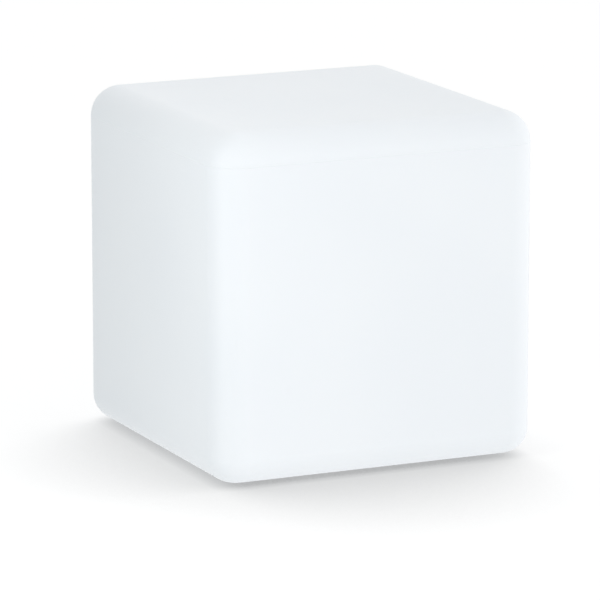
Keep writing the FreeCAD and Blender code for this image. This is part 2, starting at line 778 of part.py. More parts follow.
def button_spring():
    # quarter-turn arcs between the mid-points of a square helix, so each runs on into the next
    rise = (spring_room - spring_wire - 2 * spring_end_gap) / (4 * spring_turns)
    first = lip_top + spring_end_gap + spring_wire / 2
    corner_radius = spring_radius * math.sqrt(2)
    corners = [Vector(button_x + corner_radius * math.cos(math.pi * k / 2),
                      panel_y + corner_radius * math.sin(math.pi * k / 2), first + rise * (k - 0.5))
               for k in range(int(round(4 * spring_turns)) + 2)]
    middles = [(a + b) / 2 for a, b in zip(corners, corners[1:])]
    edges = [arc_round(a, corner, b) for a, corner, b in zip(middles, corners[1:], middles[1:])]
    return swept_wire(edges, spring_wire / 2)


def button_retainer():
    inner = collar_outer + retainer_fit
    cup = cylinder(inner + retainer_wall, collar_top - retainer_skirt, retainer_top, button_x, panel_y)
    cup = cup.cut(cylinder(inner, collar_top - retainer_skirt - 1, collar_top, button_x, panel_y))
    return cup.cut(cylinder(stem_radius + stem_play, collar_top - 1, retainer_top + 1, button_x, panel_y))


def switch_plunger():
    top = control_bottom - switch_roof - button_travel - 0.3
    return cylinder(switch_plunger_radius, stem_top, top, button_x, panel_y)


# ---------------------------------------------------------------- charging socket and its cap
def charge_socket():
    flange = cylinder(socket_flange_radius, socket_mouth, panel_face, socket_x, panel_y)
    barrel = cylinder(socket_barrel_radius, panel_face, socket_back, socket_x, panel_y)
    bore_end = socket_mouth + socket_bore_depth
    bore = cylinder(socket_bore_radius, socket_mouth - 1, bore_end, socket_x, panel_y)
    pin_way = cylinder(contact_pin_radius + pilot_play, bore_end - 1, socket_back + 1, socket_x, panel_y)
    tab_way = block(contact_tab_thickness + 2 * pilot_play, contact_tab_width + 2 * pilot_play,
                    socket_back - contact_tail, socket_back + 1, socket_x + contact_tab_offset, panel_y)
    return flange.fuse(barrel).removeSplitter().cut(fused([bore, pin_way])).cut(tab_way)


def socket_contacts():
    pin = cylinder(contact_pin_radius, socket_mouth + contact_pin_recess, socket_back + contact_tail,
                   socket_x, panel_y)
    pin = pin.makeFillet(contact_pin_radius * 0.5,
                         circle_edges(pin, contact_pin_radius, socket_mouth + contact_pin_recess))
    tab = block(contact_tab_thickness, contact_tab_width, socket_back - contact_tail,
                socket_back + contact_tail, socket_x + contact_tab_offset, panel_y)
    return [pin, tab]


def socket_nut():
    corner = socket_nut_flats / math.sqrt(3)
    points = [Vector(socket_x + corner * math.cos(math.radians(60 * k)),
                     panel_y + corner * math.sin(math.radians(60 * k)), flange_top) for k in range(7)]
    nut = Part.Face(Part.makePolygon(points)).extrude(Vector(0, 0, socket_nut_thickness))
    nut_top = flange_top + socket_nut_thickness
    bore = cylinder(socket_barrel_radius + socket_fit, flange_top - 1, nut_top + 1, socket_x, panel_y)
    return nut.cut(bore)


def port_cap():
    disc = cylinder(cap_radius, cap_bottom, cap_top, socket_x, panel_y)
    disc = disc.makeFillet(cap_edge, circle_edges(disc, cap_radius, cap_bottom))
    stopper = Part.makeCone(plug_radius, plug_tip_radius, plug_depth, Vector(socket_x, panel_y, cap_top))
    strap_start = socket_x + cap_radius - 1
    strap = block(hinge_x - strap_start, strap_width, strap_level - strap_thickness / 2,
                  strap_level + strap_thickness / 2, (hinge_x + strap_start) / 2, panel_y)
    knuckle = Part.makeCylinder(strap_thickness / 2, strap_width,
                                Vector(hinge_x, panel_y - strap_width / 2, strap_level), Vector(0, 1, 0))
    return fused([disc, stopper, strap, knuckle])


def cap_anchor():
    base_low = strap_level - strap_thickness / 2
    base = cylinder(anchor_radius, base_low, panel_face, anchor_x, panel_y)
    base = base.makeChamfer(anchor_edge, circle_edges(base, anchor_radius, base_low))
    stud = cylinder(anchor_stud_radius, panel_face, flange_top, anchor_x, panel_y)
    head = Part.makeCone(anchor_head_radius, anchor_stud_radius * 0.8, anchor_head_height,
                         Vector(anchor_x, panel_y, flange_top))
    return fused([base, stud, head])


def light_pipe():
    pipe = cylinder(light_pipe_radius, panel_face - light_pipe_proud,
                    control_bottom - indicator_size[2] - indicator_gap, light_pipe_x, panel_y)
    flange = cylinder(light_pipe_flange_radius, flange_top, flange_top + light_pipe_flange_height,
                      light_pipe_x, panel_y)
    return pipe.fuse(flange).removeSplitter()


# ---------------------------------------------------------------- plugs and leads
def lead_plugs():
    return [plug(place) for place in (battery_plug_place, charge_plug_place, light_plug_place)]


def battery_lead_rows():
    return [pack_y - lead_pitch / 2, pack_y + lead_pitch / 2]


def battery_leads():
    # from the end of the pack, up past the light board's edge of the tray and over into the header
    leads = []
    for k, start_y in enumerate(battery_lead_rows()):
        side = lead_pitch * (k - 0.5)
        x, y = battery_plug_place
        start = pack_half_length - sleeve_wall - 0.6
        leads.append(wire_lead([(start, start_y, pack_level),
                                (start + 8, start_y, pack_level),
                                (start + 8.5, start_y + 9, pack_level + 12),
                                (x + side + 3, y - 20, plug_top + 2.5),
                                (x + side, y, plug_top + 5),
                                (x + side, y, plug_top)]))
    return leads


def charge_leads():
    # from the socket's contacts, out under the control board's edge and over into the header
    leads = []
    for k, start_x in enumerate((socket_x, socket_x + contact_tab_offset)):
        side = lead_pitch * (k - 0.5)
        x, y = charge_plug_place
        low = socket_back + contact_tail - 1.4
        edge = control_y - control_depth / 2
        start_y = panel_y - (contact_pin_radius if k == 0 else contact_tab_width / 2)
        leads.append(wire_lead([(start_x, start_y, low),
                                (start_x, start_y - 7, low),
                                (start_x + 1.5, edge - 4.5, low + 1.5),
                                (x + side - 1, edge - 5, plug_top + 3),
                                (x + side, y, plug_top + 5),
                                (x + side, y, plug_top)]))
    return leads


def light_leads():
    # straight up out of the header, through the hole in the light board
    x, y = light_plug_place
    return [cylinder(lead_radius, plug_top, light_board_top + 1.5, x + side, y)
            for side in (-lead_pitch / 2, lead_pitch / 2)]


# ---------------------------------------------------------------- every node
def build():
    nodes = {
        "shell": shell(),
        "threaded_inserts": threaded_inserts(),
        "foot_screws": foot_screws(),
        "base_tray": base_tray(),
        "base_seal": base_seal(),
        "unit_screws": unit_screws(),
        "diffuser_dome": diffuser_dome(),
        "dome_seal": dome_seal(),
        "light_board": light_board(),
        "leds": leds(),
        "light_board_screws": light_board_screws(),
        "control_board": control_board(),
        "control_screws": control_screws(),
        "driver_chips": driver_chips(),
        "coil_and_capacitors": coil_and_capacitors(),
        "board_headers": board_headers(),
        "switch_body": switch_body(),
        "indicator_led": indicator_led(),
        "battery_cells": battery_cells(),
        "battery_sleeve": battery_sleeve(),
        "battery_tabs": battery_tabs(),
        "protection_board": protection_board(),
        "battery_pad": battery_pad(),
        "battery_clamp": battery_clamp(),
        "clamp_screws": clamp_screws(),
        "power_button": power_button(),
        "button_seal": button_seal(),
        "button_spring": button_spring(),
        "button_retainer": button_retainer(),
        "switch_plunger": switch_plunger(),
        "charge_socket": charge_socket(),
        "socket_contacts": socket_contacts(),
        "socket_nut": socket_nut(),
        "port_cap": port_cap(),
        "cap_anchor": cap_anchor(),
        "light_pipe": light_pipe(),
        "lead_plugs": lead_plugs(),
        "battery_leads": battery_leads(),
        "charge_leads": charge_leads(),
        "light_leads": light_leads(),
    }
    for name, place in zip(foot_names, foot_places):
        nodes[name] = foot(*place)
    return nodes


def write(nodes):
    os.makedirs("parts", exist_ok=True)
    for name, shape in nodes.items():
        whole = Part.makeCompound(shape) if isinstance(shape, list) else shape
        whole.exportStep(os.path.join("parts", name + ".step"))
        solids = whole.Solids
        print(name, len(solids), "solid(s),", round(sum(s.Volume for s in solids) / 1000, 3), "cm3",
              "" if whole.isValid() else "NOT VALID")


if __name__ == "__main__":
    write(build())
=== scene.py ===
import math

import bmesh
import bpy
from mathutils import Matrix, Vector


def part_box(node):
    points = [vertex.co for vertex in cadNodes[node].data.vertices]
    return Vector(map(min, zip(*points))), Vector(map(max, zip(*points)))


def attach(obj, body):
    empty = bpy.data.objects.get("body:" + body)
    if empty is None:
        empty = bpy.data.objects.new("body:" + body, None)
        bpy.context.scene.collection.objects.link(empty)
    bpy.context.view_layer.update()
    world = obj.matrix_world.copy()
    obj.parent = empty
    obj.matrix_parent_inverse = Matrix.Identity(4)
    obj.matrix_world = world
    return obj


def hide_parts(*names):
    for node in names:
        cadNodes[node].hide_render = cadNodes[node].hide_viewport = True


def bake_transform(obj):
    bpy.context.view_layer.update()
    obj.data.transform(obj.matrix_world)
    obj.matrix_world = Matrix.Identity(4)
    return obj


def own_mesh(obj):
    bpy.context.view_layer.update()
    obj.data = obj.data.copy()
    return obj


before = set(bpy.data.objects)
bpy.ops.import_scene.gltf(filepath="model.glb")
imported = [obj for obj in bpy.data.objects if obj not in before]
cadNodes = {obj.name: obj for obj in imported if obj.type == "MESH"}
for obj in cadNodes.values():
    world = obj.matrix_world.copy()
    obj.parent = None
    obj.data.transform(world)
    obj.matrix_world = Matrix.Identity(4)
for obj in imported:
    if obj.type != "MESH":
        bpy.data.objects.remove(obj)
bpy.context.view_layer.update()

millimetre = 0.001
overrun = 0.001     # metres that a cutting piece runs past a surface


def millimetres(*values):
    return tuple(v * millimetre for v in values)


def lengthsOf(values):
    # the plain lengths of a piece in metres
    return {key: value * millimetre for key, value in values.items() if isinstance(value, (int, float))}


# camera: turned rather than shifted, at the angle of the photograph
camera = {
    "azimuth": -24.67,                  # degrees round from the front
    "elevation": 12.0,
    "distance": 5.629,
    "lens": 290.96,
    "sensor": 36,
    "picture": 600,                     # pixels each way
    "aim": (0.0, 0.0, 0.2025),
    "aimInPicture": (307.54, 266.78),   # the pixel where the aim shows
    "clip": (0.1, 100),
}


def placeCamera():
    bpy.ops.object.camera_add()
    shot = bpy.context.object
    shot.name = "studioCamera"
    turn = math.radians(camera["azimuth"])
    lift = math.radians(camera["elevation"])
    back = Vector((math.sin(turn) * math.cos(lift), -math.cos(turn) * math.cos(lift), math.sin(lift)))
    right = Vector((math.cos(turn), math.sin(turn), 0))
    up = back.cross(right)
    focal = camera["lens"] / camera["sensor"] * camera["picture"]
    across, down = [(pixel - camera["picture"] / 2) / focal for pixel in camera["aimInPicture"]]
    forward = (-back - right * across + up * down).normalized()
    shot.location = Vector(camera["aim"]) + back * camera["distance"]
    shot.rotation_mode = "QUATERNION"
    shot.rotation_quaternion = forward.to_track_quat("-Z", "Y")
    shot.data.lens = camera["lens"]
    shot.data.sensor_width = camera["sensor"]
    shot.data.clip_start, shot.data.clip_end = camera["clip"]
    bpy.context.scene.camera = shot


placeCamera()
bpy.context.scene.view_settings.view_transform = "Standard"
print("camera placed")


# modelling helpers, each one hand step

def clearSelection():
    if bpy.context.object and bpy.context.object.mode != "OBJECT":
        bpy.ops.object.mode_set(mode="OBJECT")
    bpy.ops.object.select_all(action="DESELECT")


def pick(piece):
    clearSelection()
    piece.select_set(True)
    bpy.context.view_layer.objects.active = piece


def settle(piece, name):
    # the place and turn of a piece go into its mesh
    pick(piece)
    piece.name = piece.data.name = name
    bpy.ops.object.transform_apply(location=True, rotation=True, scale=True)
    return piece


def addRound(name, radius, low, high, at=(0, 0), sides=64):
    clearSelection()
    bpy.ops.mesh.primitive_cylinder_add(vertices=sides, radius=radius, depth=high - low,
                                        location=(at[0], at[1], (low + high) / 2))
    return settle(bpy.context.object, name)


def addBlock(name, low, high):
    clearSelection()
    bpy.ops.mesh.primitive_cube_add(size=1, location=[(a + b) / 2 for a, b in zip(low, high)],
                                    scale=[b - a for a, b in zip(low, high)])
    return settle(bpy.context.object, name)


def edit(piece, mode="FACE"):
    pick(piece)
    bpy.ops.object.mode_set(mode="EDIT")
    bpy.ops.mesh.select_mode(type=mode)
    bpy.ops.mesh.select_all(action="DESELECT")
    return bmesh.from_edit_mesh(piece.data)


def doneEditing():
    bpy.ops.object.mode_set(mode="OBJECT")


def chooseFaces(piece, wanted):
    shape = edit(piece)
    for face in shape.faces:
        face.select_set(wanted(face))
    bmesh.update_edit_mesh(piece.data)


def chooseEdges(piece, wanted):
    shape = edit(piece, "EDGE")
    for edge in shape.edges:
        edge.select_set(wanted(edge))
    shape.select_flush_mode()
    bmesh.update_edit_mesh(piece.data)


def isUpright(edge):
    run = edge.verts[1].co - edge.verts[0].co
    return run.length > 1e-6 and abs(run.z) > 0.99 * run.length


def liesAt(level, tolerance=2e-5):
    return lambda part: all(abs(v.co.z - level) < tolerance for v in part.verts)


def roundEdges(piece, wanted, radius, steps):
    chooseEdges(piece, wanted)
    bpy.ops.mesh.bevel(offset=radius, offset_type="OFFSET", segments=steps, profile=0.5, affect="EDGES")
    doneEditing()


def sliceAcross(piece, place, facing):
    # one more line of vertices round the piece, at a plane
    edit(piece)
    bpy.ops.mesh.select_all(action="SELECT")
    bpy.ops.mesh.bisect(plane_co=place, plane_no=facing)
    doneEditing()


def workFace(piece, level, steps):
    # from the end face at one level, inset and pushed in or out in turn
    chooseFaces(piece, liesAt(level))
    for kind, size in steps:
        if kind == "inset":
            bpy.ops.mesh.inset(thickness=size, use_even_offset=True)
        else:
            bpy.ops.mesh.extrude_region_move(TRANSFORM_OT_translate={"value": (0, 0, size)})
    doneEditing()


def combine(piece, tool, operation):
    pick(piece)
    step = piece.modifiers.new("combine", "BOOLEAN")
    step.operation = operation
    step.object = tool
    step.solver = "EXACT"
    bpy.ops.object.modifier_apply(modifier=step.name)
    bpy.data.objects.remove(tool)
    return piece


def cutBy(piece, tool):
    return combine(piece, tool, "DIFFERENCE")


def growBy(piece, tool):
    return combine(piece, tool, "UNION")


def addTube(name, outer, inner, low, high, at, sides):
    tube = addRound(name, outer, low, high, at, sides)
    return cutBy(tube, addRound("bore", inner, low - overrun, high + overrun, at, sides))


def finishSurface(piece, angle):
    # clean closed mesh, outward faces, smooth rounds beside flat faces
    edit(piece)
    bpy.ops.mesh.select_all(action="SELECT")
    bpy.ops.mesh.remove_doubles(threshold=1e-6)
    bpy.ops.mesh.normals_make_consistent(inside=False)
    doneEditing()
    pick(piece)
    bpy.ops.object.shade_smooth_by_angle(angle=math.radians(angle))
    weigh = piece.modifiers.new("weigh", "WEIGHTED_NORMAL")
    weigh.keep_sharp = True
    weigh.weight = 60
    bpy.ops.object.modifier_apply(modifier=weigh.name)
    return piece


# shell: the moulded cube, in millimetres
shell = {
    "side": 400,
    "bottom": 2.5,
    "edgeRadius": 36,
    "baseRadius": 30,
    "wall": 3,
    "beadLevel": 366.5,         # parting line of the mould
    "beadHalf": 0.45,
    "beadProud": 0.3,
    "recessRadius": 95,
    "recessDepth": 9,
    "openingRadius": 75,
    "mouthRadius": 3,
    "bossRadius": 7,
    "bossTop": 23.5,
    "insertRadius": 3.5,
    "insertDepth": 8,
    "screwCircle": 86,
    "footAt": 140,
    "footPocket": 15.3,
    "footDepth": 2,
    "footBoss": 6,
    "footBossTop": 18.5,
    "footScrew": 1.93,
    "footScrewTop": 15.2,
    "counts": {"screws": 6, "outerSteps": 18, "innerSteps": 8, "mouthSteps": 4},
    "sides": {"recess": 128, "boss": 32, "insert": 32, "pad": 48, "pocket": 64, "footScrew": 24},
    "smoothAngle": 30,          # degrees
}


def cubeForm(name, inset, steps):
    half = (shell["side"] / 2 - inset) * millimetre
    low = (shell["bottom"] + inset) * millimetre
    high = (shell["bottom"] + shell["side"] - inset) * millimetre
    form = addBlock(name, (-half, -half, low), (half, half, high))
    edgeRadius = (shell["edgeRadius"] - inset) * millimetre
    roundEdges(form, lambda edge: isUpright(edge) or liesAt(high)(edge), edgeRadius, steps)
    roundEdges(form, liesAt(low), (shell["baseRadius"] - inset) * millimetre, steps)
    return form


def drawBead(form):
    # thin raised line where the two mould halves met, held in place by two lines on each side
    middle, half = shell["beadLevel"], shell["beadHalf"]
    for step in range(-2, 3):
        sliceAcross(form, (0, 0, (middle + step * half) * millimetre), (0, 0, 1))
    chooseEdges(form, liesAt(middle * millimetre))
    grow = 1 + 2 * shell["beadProud"] / shell["side"]
    bpy.ops.transform.resize(value=(grow, grow, 1), center_override=(0, 0, middle * millimetre))
    doneEditing()


def footPlaces():
    reach = shell["footAt"] * millimetre
    return {
        "foot_front_left": (-reach, -reach),
        "foot_front_right": (reach, -reach),
        "foot_rear_left": (-reach, reach),
        "foot_rear_right": (reach, reach),
    }


def screwPlaces():
    circle = shell["screwCircle"] * millimetre
    count = shell["counts"]["screws"]
    turns = [math.radians(360 / count * (k + 0.5)) for k in range(count)]
    return [(circle * math.cos(turn), circle * math.sin(turn)) for turn in turns]


def makeShell():
    s, counts, sides = lengthsOf(shell), shell["counts"], shell["sides"]
    bottom, wall = s["bottom"], s["wall"]
    ceiling = bottom + s["recessDepth"]
    pocketTop = bottom + s["footDepth"]
    skin = cubeForm("shellMoulding", 0, counts["outerSteps"])
    drawBead(skin)

    hollow = cubeForm("hollow", shell["wall"], counts["innerSteps"])
    plateau = addRound("plateau", s["recessRadius"] + wall, bottom, ceiling + wall, sides=sides["recess"])
    cutBy(hollow, plateau)
    for at in screwPlaces():
        cutBy(hollow, addRound("boss", s["bossRadius"], bottom, s["bossTop"], at, sides["boss"]))
    for at in footPlaces().values():
        cutBy(hollow, addRound("pad", s["footPocket"] + wall, bottom, pocketTop + wall, at, sides["pad"]))
        cutBy(hollow, addRound("boss", s["footBoss"], bottom, s["footBossTop"], at, sides["boss"]))
    cutBy(skin, hollow)

    cutBy(skin, addRound("recess", s["recessRadius"], 0, ceiling, sides=sides["recess"]))
    cutBy(skin, addRound("opening", s["openingRadius"], 0, ceiling + 2 * wall, sides=sides["recess"]))
    for at in screwPlaces():
        cutBy(skin, addRound("socket", s["insertRadius"], 0, ceiling + s["insertDepth"], at, sides["insert"]))
    for at in footPlaces().values():
        cutBy(skin, addRound("pocket", s["footPocket"], 0, pocketTop, at, sides["pocket"]))
        cutBy(skin, addRound("pilot", s["footScrew"], 0, s["footScrewTop"], at, sides["footScrew"]))

    def atMouth(edge):
        radii = [math.hypot(v.co.x, v.co.y) for v in edge.verts]
        return liesAt(bottom)(edge) and all(abs(r - s["recessRadius"]) < 1e-4 for r in radii)

    roundEdges(skin, atMouth, s["mouthRadius"], counts["mouthSteps"])
    return finishSurface(skin, shell["smoothAngle"])


# feet: turned rubber pads with a grip ring, in millimetres
foot = {
    "radius": 15,
    "height": 4.5,
    "edge": 1.0,
    "grooveOut": 2.4,       # from the rounded edge to the grip groove
    "grooveWidth": 1.2,
    "grooveDepth": 0.7,
    "headHole": 4.6,
    "headDepth": 3.2,
    "screwHole": 2.15,
    "counts": {"sides": 64, "edgeSteps": 4},
    "smoothAngle": 35,
}


def makeFoot(name, at):
    f, counts = lengthsOf(foot), foot["counts"]
    pad = addRound(name, f["radius"], 0, f["height"], at, counts["sides"])
    roundEdges(pad, liesAt(0), f["edge"], counts["edgeSteps"])
    land = f["radius"] - f["edge"] - f["grooveOut"] - f["grooveWidth"]
    workFace(pad, 0, [
        ("inset", f["grooveOut"]),
        ("push", f["grooveDepth"]),
        ("inset", f["grooveWidth"]),
        ("push", -f["grooveDepth"]),
        ("inset", land - f["headHole"]),
        ("push", f["headDepth"]),
        ("inset", f["headHole"] - f["screwHole"]),
    ])
    workFace(pad, f["height"], [("inset", f["radius"] - f["screwHole"])])

    def overHole(face):
        reach = f["screwHole"] * 1.02
        return all(math.hypot(v.co.x - at[0], v.co.y - at[1]) < reach for v in face.verts)

    chooseFaces(pad, overHole)
    bpy.ops.mesh.bridge_edge_loops()
    doneEditing()
    return finishSurface(pad, foot["smoothAngle"])


# push button with its power sign, in millimetres
button = {
    "at": (-28, 26),
    "radius": 8.5,
    "face": 6.9,
    "edge": 0.9,
    "rim": 0.9,
    "dish": 0.25,
    "lipRadius": 10.9,
    "lipLow": 14.2,
    "lipHigh": 15.4,
    "stemRadius": 3.0,
    "stemTop": 23.0,
    "grooveLow": 10.0,
    "grooveHigh": 11.61,
    "grooveRadius": 7.4,
    "signRadius": 4.0,
    "signLine": 0.95,
    "signDepth": 0.4,
    "signShape": {"gap": 1.5, "strokeFrom": 0.1, "strokeTo": 1.25},  # in lines, then in radii
    "signColour": (0.80, 0.81, 0.82),
    "counts": {"sides": 96, "stemSides": 48, "edgeSteps": 5},
    "smoothAngle": 35,
}


def makeButton():
    b, counts, shape = lengthsOf(button), button["counts"], button["signShape"]
    at = millimetres(*button["at"])
    sides = counts["sides"]
    cap = addRound("buttonCap", b["radius"], b["face"], b["lipHigh"], at, sides)
    groove = addTube("groove", b["radius"] + overrun, b["grooveRadius"], b["grooveLow"], b["grooveHigh"],
                     at, sides)
    cutBy(cap, groove)
    growBy(cap, addRound("lip", b["lipRadius"], b["lipLow"], b["lipHigh"], at, sides))
    growBy(cap, addRound("stem", b["stemRadius"], b["lipLow"], b["stemTop"], at, counts["stemSides"]))

    def roundFace(edge):
        if not liesAt(b["face"])(edge) or len(edge.link_faces) != 2:
            return False
        first, second = edge.link_faces
        return abs(first.normal.z - second.normal.z) > 0.5

    roundEdges(cap, roundFace, b["edge"], counts["edgeSteps"])
    workFace(cap, b["face"], [("inset", b["rim"]), ("push", b["dish"])])

    # the sign: an open ring with a stroke in its gap
    floor = b["face"] + b["dish"]
    deep = floor + b["signDepth"]
    outer, line = b["signRadius"], b["signLine"]
    ring = addTube("signRing", outer, outer - line, floor - overrun, deep, at, sides)
    halfGap = line * shape["gap"]
    cutBy(ring, addBlock("gap", (at[0] - halfGap, at[1], 0), (at[0] + halfGap, at[1] + 0.01, 0.02)))
    cutBy(cap, ring)
    strokeLow = (at[0] - line / 2, at[1] + outer * shape["strokeFrom"], floor - overrun)
    strokeHigh = (at[0] + line / 2, at[1] + outer * shape["strokeTo"], deep)
    cutBy(cap, addBlock("stroke", strokeLow, strokeHigh))
    return finishSurface(cap, button["smoothAngle"])


# rubber cap over the charging socket, with its plug and strap, in millimetres
portCap = {
    "at": (10, 26),
    "radius": 8.5,
    "low": 4.3,
    "high": 6.1,
    "edge": 0.6,
    "rimWidth": 1.2,
    "dish": 0.35,
    "plugRadius": 2.65,
    "plugTip": 2.15,
    "plugTop": 9.1,
    "plugEdge": 0.3,
    "plugSunk": 0.5,
    "strapWidth": 5,
    "strapLow": 4.54,
    "strapHigh": 5.74,
    "strapEnd": 29.0,
    "hinge": 26.5,
    "hingeThin": 0.3,       # how far the strap thins where it folds
    "hingeReach": 1.8,
    "counts": {"sides": 96, "edgeSteps": 4, "plugSides": 48, "plugSteps": 3, "foldLines": 13},
    "smoothAngle": 35,
}


def makePortCap():
    c, counts = lengthsOf(portCap), portCap["counts"]
    at = millimetres(*portCap["at"])
    disc = addRound("portCap", c["radius"], c["low"], c["high"], at, counts["sides"])
    roundEdges(disc, liesAt(c["low"]), c["edge"], counts["edgeSteps"])
    workFace(disc, c["low"], [("inset", c["rimWidth"]), ("push", c["dish"])])

    plug = addRound("plug", c["plugRadius"], c["high"] - c["plugSunk"], c["plugTop"], at, counts["plugSides"])
    shrink = c["plugTip"] / c["plugRadius"]
    chooseFaces(plug, liesAt(c["plugTop"]))
    bpy.ops.transform.resize(value=(shrink, shrink, 1), center_override=(at[0], at[1], c["plugTop"]))
    doneEditing()
    roundEdges(plug, liesAt(c["plugTop"]), c["plugEdge"], counts["plugSteps"])
    growBy(disc, plug)

    half = c["strapWidth"] / 2
    strap = addBlock("strap", (at[0] + c["radius"] - overrun, at[1] - half, c["strapLow"]),
                     (c["strapEnd"], at[1] + half, c["strapHigh"]))
    middleLine = counts["foldLines"] // 2
    for line in range(counts["foldLines"]):
        along = c["hinge"] + c["hingeReach"] * (line / middleLine - 1)
        sliceAcross(strap, (along, 0, 0), (1, 0, 0))
    for side, level in ((1, c["strapLow"]), (-1, c["strapHigh"])):
        shape = edit(strap, "VERT")
        for vertex in shape.verts:
            away = abs(vertex.co.x - c["hinge"]) / c["hingeReach"]
            if away < 0.95 and abs(vertex.co.z - level) < 1e-5:
                vertex.co.z += side * c["hingeThin"] * math.cos(away * math.pi / 2)
        bmesh.update_edit_mesh(strap.data)
        doneEditing()
    growBy(disc, strap)
    return finishSurface(disc, portCap["smoothAngle"])


# return spring of the button, with closed ends, in millimetres
spring = {
    "at": (-28, 26),
    "radius": 6.5,
    "wire": 0.6,
    "low": 15.45,
    "high": 19.95,
    "turns": 4,
    "wireSides": 12,
    "stepsPerTurn": 40,
    "smoothAngle": 50,
}


def makeSpring():
    at = millimetres(*spring["at"])
    radius, wire = millimetres(spring["radius"], spring["wire"])
    low = spring["low"] * millimetre + wire / 2
    rise = (spring["high"] - spring["low"]) * millimetre - wire
    clearSelection()
    bpy.ops.mesh.primitive_circle_add(vertices=spring["wireSides"], radius=wire / 2,
                                      location=(radius, 0, 0), rotation=(math.pi / 2, 0, 0))
    coil = settle(bpy.context.object, "buttonSpringCoil")
    screw = coil.modifiers.new("coil", "SCREW")
    screw.angle = 2 * math.pi
    screw.iterations = spring["turns"]
    screw.screw_offset = rise / spring["turns"]
    screw.steps = screw.render_steps = spring["stepsPerTurn"]
    screw.use_merge_vertices = False
    bpy.ops.object.modifier_apply(modifier=screw.name)
    edit(coil, "EDGE")
    bpy.ops.mesh.select_non_manifold()
    bpy.ops.mesh.fill_holes(sides=0)
    doneEditing()
    coil.location = (at[0], at[1], low)
    settle(coil, "buttonSpringCoil")
    return finishSurface(coil, spring["smoothAngle"])


shellPiece = makeShell()
print("shell moulded:", len(shellPiece.data.polygons), "faces")
footPieces = {name: makeFoot("rubber_" + name, place) for name, place in footPlaces().items()}
print("feet turned")
buttonPiece = makeButton()
springPiece = makeSpring()
print("button and spring made")
capPiece = makePortCap()
print("charging cap made")


# material helpers; every finish is worked out from the place on the object, in metres

def newFinish(name):
    finish = bpy.data.materials.new(name)
    finish.use_nodes = True
    tree = finish.node_tree
    return finish, tree, tree.nodes["Principled BSDF"]


def addNode(tree, kind, **settings):
    node = tree.nodes.new(kind)
    for key, value in settings.items():
        setattr(node, key, value)
    return node


def setInputs(tree, node, values):
    # a plain value is set, the output of another node is linked
    for label, value in values.items():
        socket = node.inputs[label]
        if isinstance(value, (int, float, tuple)):
            socket.default_value = value
        else:
            tree.links.new(value, socket)
    return node.outputs


def objectCoords(tree):
    return addNode(tree, "ShaderNodeTexCoord").outputs["Object"]


def shadingNormal(tree):
    return addNode(tree, "ShaderNodeNewGeometry").outputs["Normal"]


def partsOf(tree, vector):
    return setInputs(tree, addNode(tree, "ShaderNodeSeparateXYZ"), {0: vector})


def addTexture(tree, kind, coords, values, **settings):
    return setInputs(tree, addNode(tree, kind, **settings), {"Vector": coords, **values})


def addNoise(tree, coords, scale, detail=3.0, roughness=0.5):
    values = {"Scale": scale, "Detail": detail, "Roughness": roughness}
    return addTexture(tree, "ShaderNodeTexNoise", coords, values)["Fac"]


def calculate(tree, how, first, *others):
    for other in others:
        node = addNode(tree, "ShaderNodeMath", operation=how)
        first = setInputs(tree, node, {0: first, 1: other})[0]
    return first


def between(tree, value, low, high, outLow=0.0, outHigh=1.0, smooth=True):
    # from one range to another, eased at both ends unless asked not to
    curve = "SMOOTHSTEP" if smooth else "LINEAR"
    node = addNode(tree, "ShaderNodeMapRange", interpolation_type=curve)
    values = {"Value": value, "From Min": low, "From Max": high, "To Min": outLow, "To Max": outHigh}
    return setInputs(tree, node, values)["Result"]


def blendNumbers(tree, mask, first, second):
    node = addNode(tree, "ShaderNodeMix", data_type="FLOAT")
    return setInputs(tree, node, {0: mask, 2: first, 3: second})[0]


def blendColours(tree, mask, first, second):
    node = addNode(tree, "ShaderNodeMix", data_type="RGBA")
    tree.links.new(mask, node.inputs["Factor"])
    inputs = [socket for socket in node.inputs if socket.type == "RGBA"]
    for socket, colour in zip(inputs, (first, second)):
        if isinstance(colour, tuple):
            socket.default_value = (*colour, 1)
        else:
            tree.links.new(colour, socket)
    return [socket for socket in node.outputs if socket.type == "RGBA"][0]


def bumpFrom(tree, height, depth, before=None):
    values = {"Strength": 1.0, "Distance": depth, "Height": height}
    if before is not None:
        values["Normal"] = before
    return setInputs(tree, addNode(tree, "ShaderNodeBump"), values)["Normal"]


def newGroup(name, numbers, vectors, outputs):
    group = bpy.data.node_groups.new(name, "ShaderNodeTree")
    for label in vectors:
        group.interface.new_socket(label, in_out="INPUT", socket_type="NodeSocketVector")
    for label, default in numbers.items():
        socket = group.interface.new_socket(label, in_out="INPUT", socket_type="NodeSocketFloat")
        socket.default_value = default
    for label in outputs:
        group.interface.new_socket(label, in_out="OUTPUT", socket_type="NodeSocketFloat")
    return group, addNode(group, "NodeGroupInput").outputs, addNode(group, "NodeGroupOutput")


def useGroup(tree, group, coords, values):
    node = addNode(tree, "ShaderNodeGroup", node_tree=group)
    return setInputs(tree, node, {"Coords": coords, **values})


# three skins that the finishes share
skins = {
    "scuffTurn": (0.4, 0.7, 0.9),
    "scuffStretch": (1, 14, 1),
    "scuffEdge": (0.655, 0.70),     # a higher start leaves fewer scratches
    "patchScale": 9,
    "patchEdge": (0.5, 0.65),
    "dustFacing": (-0.2, 0.9),      # from how far down to how far up the dust lies
    "dustScale": 55,
    "dustEdge": (0.35, 0.7),
}


